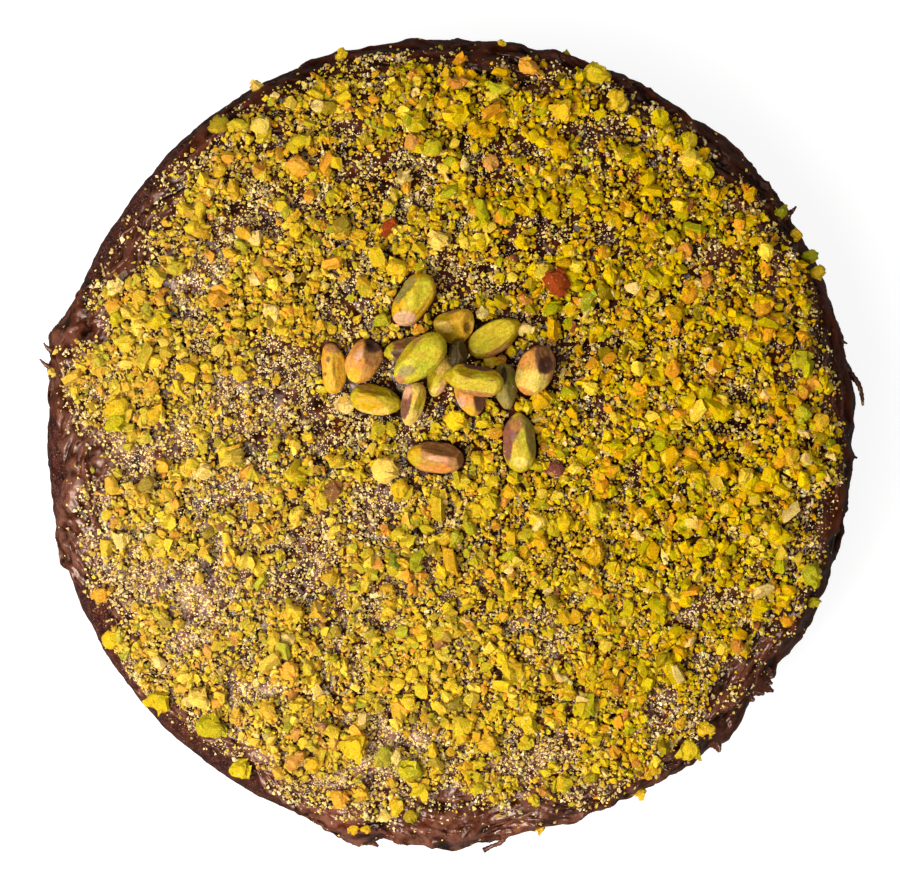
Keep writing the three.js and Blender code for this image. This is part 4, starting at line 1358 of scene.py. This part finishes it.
def grains_group():
    """Scattered grains in a surface: which places are in a grain, and the grain's own colour."""
    group, given, made = new_group(
        "ground_nut_grains", {"Scale": "Float", "Amount": "Float"}, {"Mask": "Float", "Tint": "Color"})
    coords = group.nodes.new("ShaderNodeTexCoord")
    cells = group.nodes.new("ShaderNodeTexVoronoi")
    group.links.new(coords.outputs["Object"], cells.inputs["Vector"])
    group.links.new(given["Scale"], cells.inputs["Scale"])
    draws = group.nodes.new("ShaderNodeSeparateColor")
    group.links.new(cells.outputs["Color"], draws.inputs["Color"])
    present = worked_out(group, "LESS_THAN", draws.outputs["Red"], given["Amount"])
    reach = mapped(group, draws.outputs["Green"], 0.0, 1.0, *GRAIN_SIZES)
    near = worked_out(group, "LESS_THAN", cells.outputs["Distance"], reach)
    group.links.new(worked_out(group, "MULTIPLY", present, near), made["Mask"])
    group.links.new(blend(group, draws.outputs["Blue"], *GRAIN_COLOURS), made["Tint"])
    return group


def mottle_group():
    """Uneven colour in a surface: a factor to multiply its colour by, in three sizes of blotch."""
    group, given, made = new_group(
        "uneven_tone", {"Scale": "Float", "Dark": "Color", "Warm": "Color", "Cool": "Color"},
        {"Factor": "Color"})
    fine = patchy(group, given["Scale"], 4, 0.75, 0.36, 0.6)
    broad_scale = worked_out(group, "MULTIPLY", given["Scale"], 0.25)
    warm = patchy(group, broad_scale, 2, 0.5, 0.5, 0.64)
    wide_scale = worked_out(group, "MULTIPLY", given["Scale"], 0.19)
    cool = patchy(group, wide_scale, 2, 0.5, 0.52, 0.66)
    factor = blend(group, warm, WHITE, given["Warm"])
    factor = multiplied(group, factor, blend(group, cool, WHITE, given["Cool"]))
    factor = multiplied(group, factor, blend(group, fine, given["Dark"], WHITE))
    group.links.new(factor, made["Factor"])
    return group


def sponge_material(mottle):
    material, tree, shader = new_material("sponge_crumb", roughness=0.6, gloss=0.2)
    coarse = patchy(tree, 320.0, 5, 0.7, 0.38, 0.62)
    uneven = placed_group(
        tree, mottle, Scale=1500.0, Dark=(120, 104, 100), Warm=(255, 232, 224), Cool=(236, 236, 248))
    tone = multiplied(tree, blend(tree, coarse, SPONGE_DARK, SPONGE_LIGHT), uneven["Factor"])
    specks = patchy(tree, 2100.0, 2, 0.5, 0.6, 0.67)
    feed(tree, blend(tree, specks, tone, SPONGE_SPECK), shader.inputs["Base Color"])
    bump(tree, shader, noise(tree, 1300.0, 6, 0.75), 0.0014, 1)
    return material


def chocolate_colour(tree, mottle):
    """Dark icing, paler with a dusty haze and a painted sheen, with painted shade in its creases and a
    painted highlight on its ridges.
    """
    tone = patchy(tree, 90.0, 4, 0.6, 0.35, 0.65)
    colour = blend(tree, tone, CHOCOLATE_DARK, CHOCOLATE_LIGHT)
    uneven = placed_group(
        tree, mottle, Scale=900.0, Dark=(220, 216, 214), Warm=(255, 240, 232), Cool=(240, 242, 255))
    colour = multiplied(tree, colour, uneven["Factor"])
    patches = patchy(tree, 260.0, 4, 0.65, 0.42, 0.58, 0.0, 1.6)
    bloom_and_sheen_share = worked_out(tree, "MULTIPLY", attribute_value(tree, "bloom_and_painted_sheen"), patches)
    # Painted sheen with a dusty haze, in patches.
    colour = blend(tree, bloom_and_sheen_share, colour, PAINTED_SHEEN_AND_BLOOM)
    hollow = attribute_value(tree, "hollow")
    # Painted shade in the creases.
    colour = blend(tree, mapped(tree, hollow, 0.02, 0.35, 0.0, 0.85), colour, CREASE_PAINTED_SHADE)
    # Painted highlight on the ridges.
    return blend(tree, mapped(tree, hollow, -0.05, -0.4, 0.0, 0.16), colour, RIDGE_PAINTED_HIGHLIGHT)


def icing_material(mottle, grains):
    """Glossy chocolate icing with the finest ground nut pressed into it."""
    material, tree, shader = new_material("chocolate_icing", gloss=CHOCOLATE_GLOSS)
    clumps = patchy(tree, 260.0, 2, 0.5, 0.35, 0.65, 0.4, 1.5)
    amount = worked_out(tree, "MULTIPLY", attribute_value(tree, "strewn"), clumps)
    crumbs = placed_group(tree, grains, Scale=950.0, Amount=worked_out(tree, "MULTIPLY", amount, 0.6))
    dust = placed_group(tree, grains, Scale=2000.0, Amount=worked_out(tree, "ADD", amount, -0.25))
    crumb_tint = multiplied(tree, crumbs["Tint"], PRESSED_NUT)
    colour = blend(tree, crumbs["Mask"], chocolate_colour(tree, mottle), crumb_tint)
    feed(tree, blend(tree, dust["Mask"], colour, dust["Tint"]), shader.inputs["Base Color"])
    dry = worked_out(tree, "MAXIMUM", crumbs["Mask"], dust["Mask"])
    shine = patchy(tree, 200.0, 2, 0.5, 0.35, 0.65, 0.12, 0.28)
    matt = worked_out(tree, "MULTIPLY", dry, DRY_ROUGHNESS)
    feed(tree, worked_out(tree, "MAXIMUM", shine, matt), shader.inputs["Roughness"])
    shader.inputs["Specular Tint"].default_value = CHOCOLATE_GLOSS_TINT
    relief = worked_out(tree, "ADD", noise(tree, 420.0, 1.5, 0.4), worked_out(tree, "MULTIPLY", dry, 0.2))
    bump(tree, shader, relief, 0.0007, 0.8)
    return material


def nut_material(name, roughness, gloss, mottle, mottle_scale, dark, grains, dust_amount, bump_distance):
    material, tree, shader = new_material(name, roughness, gloss)
    attribute = tree.nodes.new("ShaderNodeVertexColor")
    attribute.layer_name = "tint"
    uneven = placed_group(
        tree, mottle, Scale=mottle_scale, Dark=dark, Warm=(255, 236, 234), Cool=(234, 250, 222))
    colour = multiplied(tree, attribute.outputs["Color"], uneven["Factor"])
    dust = placed_group(tree, grains, Scale=2300.0, Amount=dust_amount)
    thin_dust = worked_out(tree, "MULTIPLY", dust["Mask"], 0.45)
    feed(tree, blend(tree, thin_dust, colour, dust["Tint"]), shader.inputs["Base Color"])
    bump(tree, shader, noise(tree, mottle_scale * 1.2, 3, 0.6), bump_distance, 0.8)
    return material


# ---------------------------------------------------------------- the scene

IMAGE = (900, 884)
MM_PER_PIXEL = 0.285
MIDDLE_PIXEL = (449.6, 440.5)  # where the cake's middle is in the picture
OUTLINE_HEIGHT = 40 * MM
CAMERA_HEIGHT = 1.6
AIM = Vector((0, 0, 0.05))
# Each light's place and size in metres, power and colour.
LIGHTS = {
    "key_light": ((-0.42, -0.36, 0.62), 0.36, 6.4, (1, 0.98, 0.95)),
    "soft_light": ((-0.6, -0.3, 1.1), 1.0, 17.5, (1, 0.98, 0.96)),
    "fill_light": ((0.9, 0.7, 1.2), 1.2, 3.5, (1, 1, 1)),
    "gleam_light": ((0.62, -0.62, 0.55), 0.3, 3.2, (1, 0.97, 0.94)),
}
FLOOR_GREY, FLOOR_IN_GLOSS = (138, 138, 138), (50, 48, 46)


def make_camera():
    data = bpy.data.cameras.new("camera")
    camera = new_object("camera", data)
    x = (IMAGE[0] / 2 - MIDDLE_PIXEL[0]) * MM_PER_PIXEL * MM
    y = (MIDDLE_PIXEL[1] - IMAGE[1] / 2) * MM_PER_PIXEL * MM
    camera.location = (x, y, CAMERA_HEIGHT)
    half_width = IMAGE[0] / 2 * MM_PER_PIXEL * MM
    data.angle = 2 * math.atan(half_width / (CAMERA_HEIGHT - OUTLINE_HEIGHT))
    bpy.context.scene.camera = camera


def make_lights():
    for name, (place, size, power, colour) in LIGHTS.items():
        data = bpy.data.lights.new(name, "AREA")
        data.shape = "SQUARE"
        data.size = size
        data.energy = power
        data.color = colour
        light = new_object(name, data)
        light.location = place
        light.rotation_euler = (AIM - Vector(place)).to_track_quat("-Z", "Y").to_euler()
        # The gleam light only puts small highlights on the ridges of the icing.
        light.visible_diffuse = name != "gleam_light"


def make_studio():
    world = bpy.data.worlds.new("studio")
    bpy.context.scene.world = world
    world.use_nodes = True
    background = world.node_tree.nodes["Background"]
    background.inputs["Color"].default_value = (1, 1, 1, 1)
    # The studio is dark in reflections, so that the icing stays deep between its highlights.
    strength = by_ray(world.node_tree, "Is Glossy Ray", 0.25, 0.03)
    world.node_tree.links.new(strength, background.inputs["Strength"])
    bpy.context.scene.view_settings.view_transform = "Standard"


def make_floor():
    bm = bmesh.new()
    bmesh.ops.create_grid(bm, x_segments=1, y_segments=1, size=3)
    mesh = finished_mesh(bm, "floor")
    material, tree, shader = new_material("floor", roughness=0.9)
    shader.inputs["Emission Color"].default_value = (1, 1, 1, 1)
    # The camera sees a white sweep. What the cake gets back from the floor is dimmer, so its rim stays dark.
    feed(tree, by_ray(tree, "Is Glossy Ray", FLOOR_GREY, FLOOR_IN_GLOSS), shader.inputs["Base Color"])
    feed(tree, by_ray(tree, "Is Camera Ray", 0.04, 0.86), shader.inputs["Emission Strength"])
    mesh.materials.append(material)
    new_object("floor", mesh)


def make_cake():
    mottle, grains = mottle_group(), grains_group()
    add_piece(sponge_mesh(), sponge_material(mottle), "sponge")
    heights = surface_heights()
    chocolate = icing_material(mottle, grains)
    for mesh in (icing_top_mesh(), icing_edge_mesh(), threads_mesh(heights)):
        strew(mesh)
        add_piece(mesh, chocolate, "icing")
    flesh = nut_material("kernel_flesh", 0.5, 0.2, mottle, 1100.0, (208, 200, 182), grains, 0.015, 0.0003)
    kernels = []
    for number, kernel in enumerate(KERNELS):
        name = f"kernel_{number + 1:02}"
        kernels.append(kernel_mesh(name, kernel, FIRST_SEED + SEED_STEP * number))
        add_piece(kernels[-1], flesh, name)
    chopped = nut_material("chopped_nut", 0.72, 0.05, mottle, 2600.0, (218, 184, 92), grains, 0.08, 0.0006)
    scatter_nuts(heights, kernel_cover(kernels, heights), chopped)


make_camera()
make_lights()
make_studio()
make_floor()
make_cake()
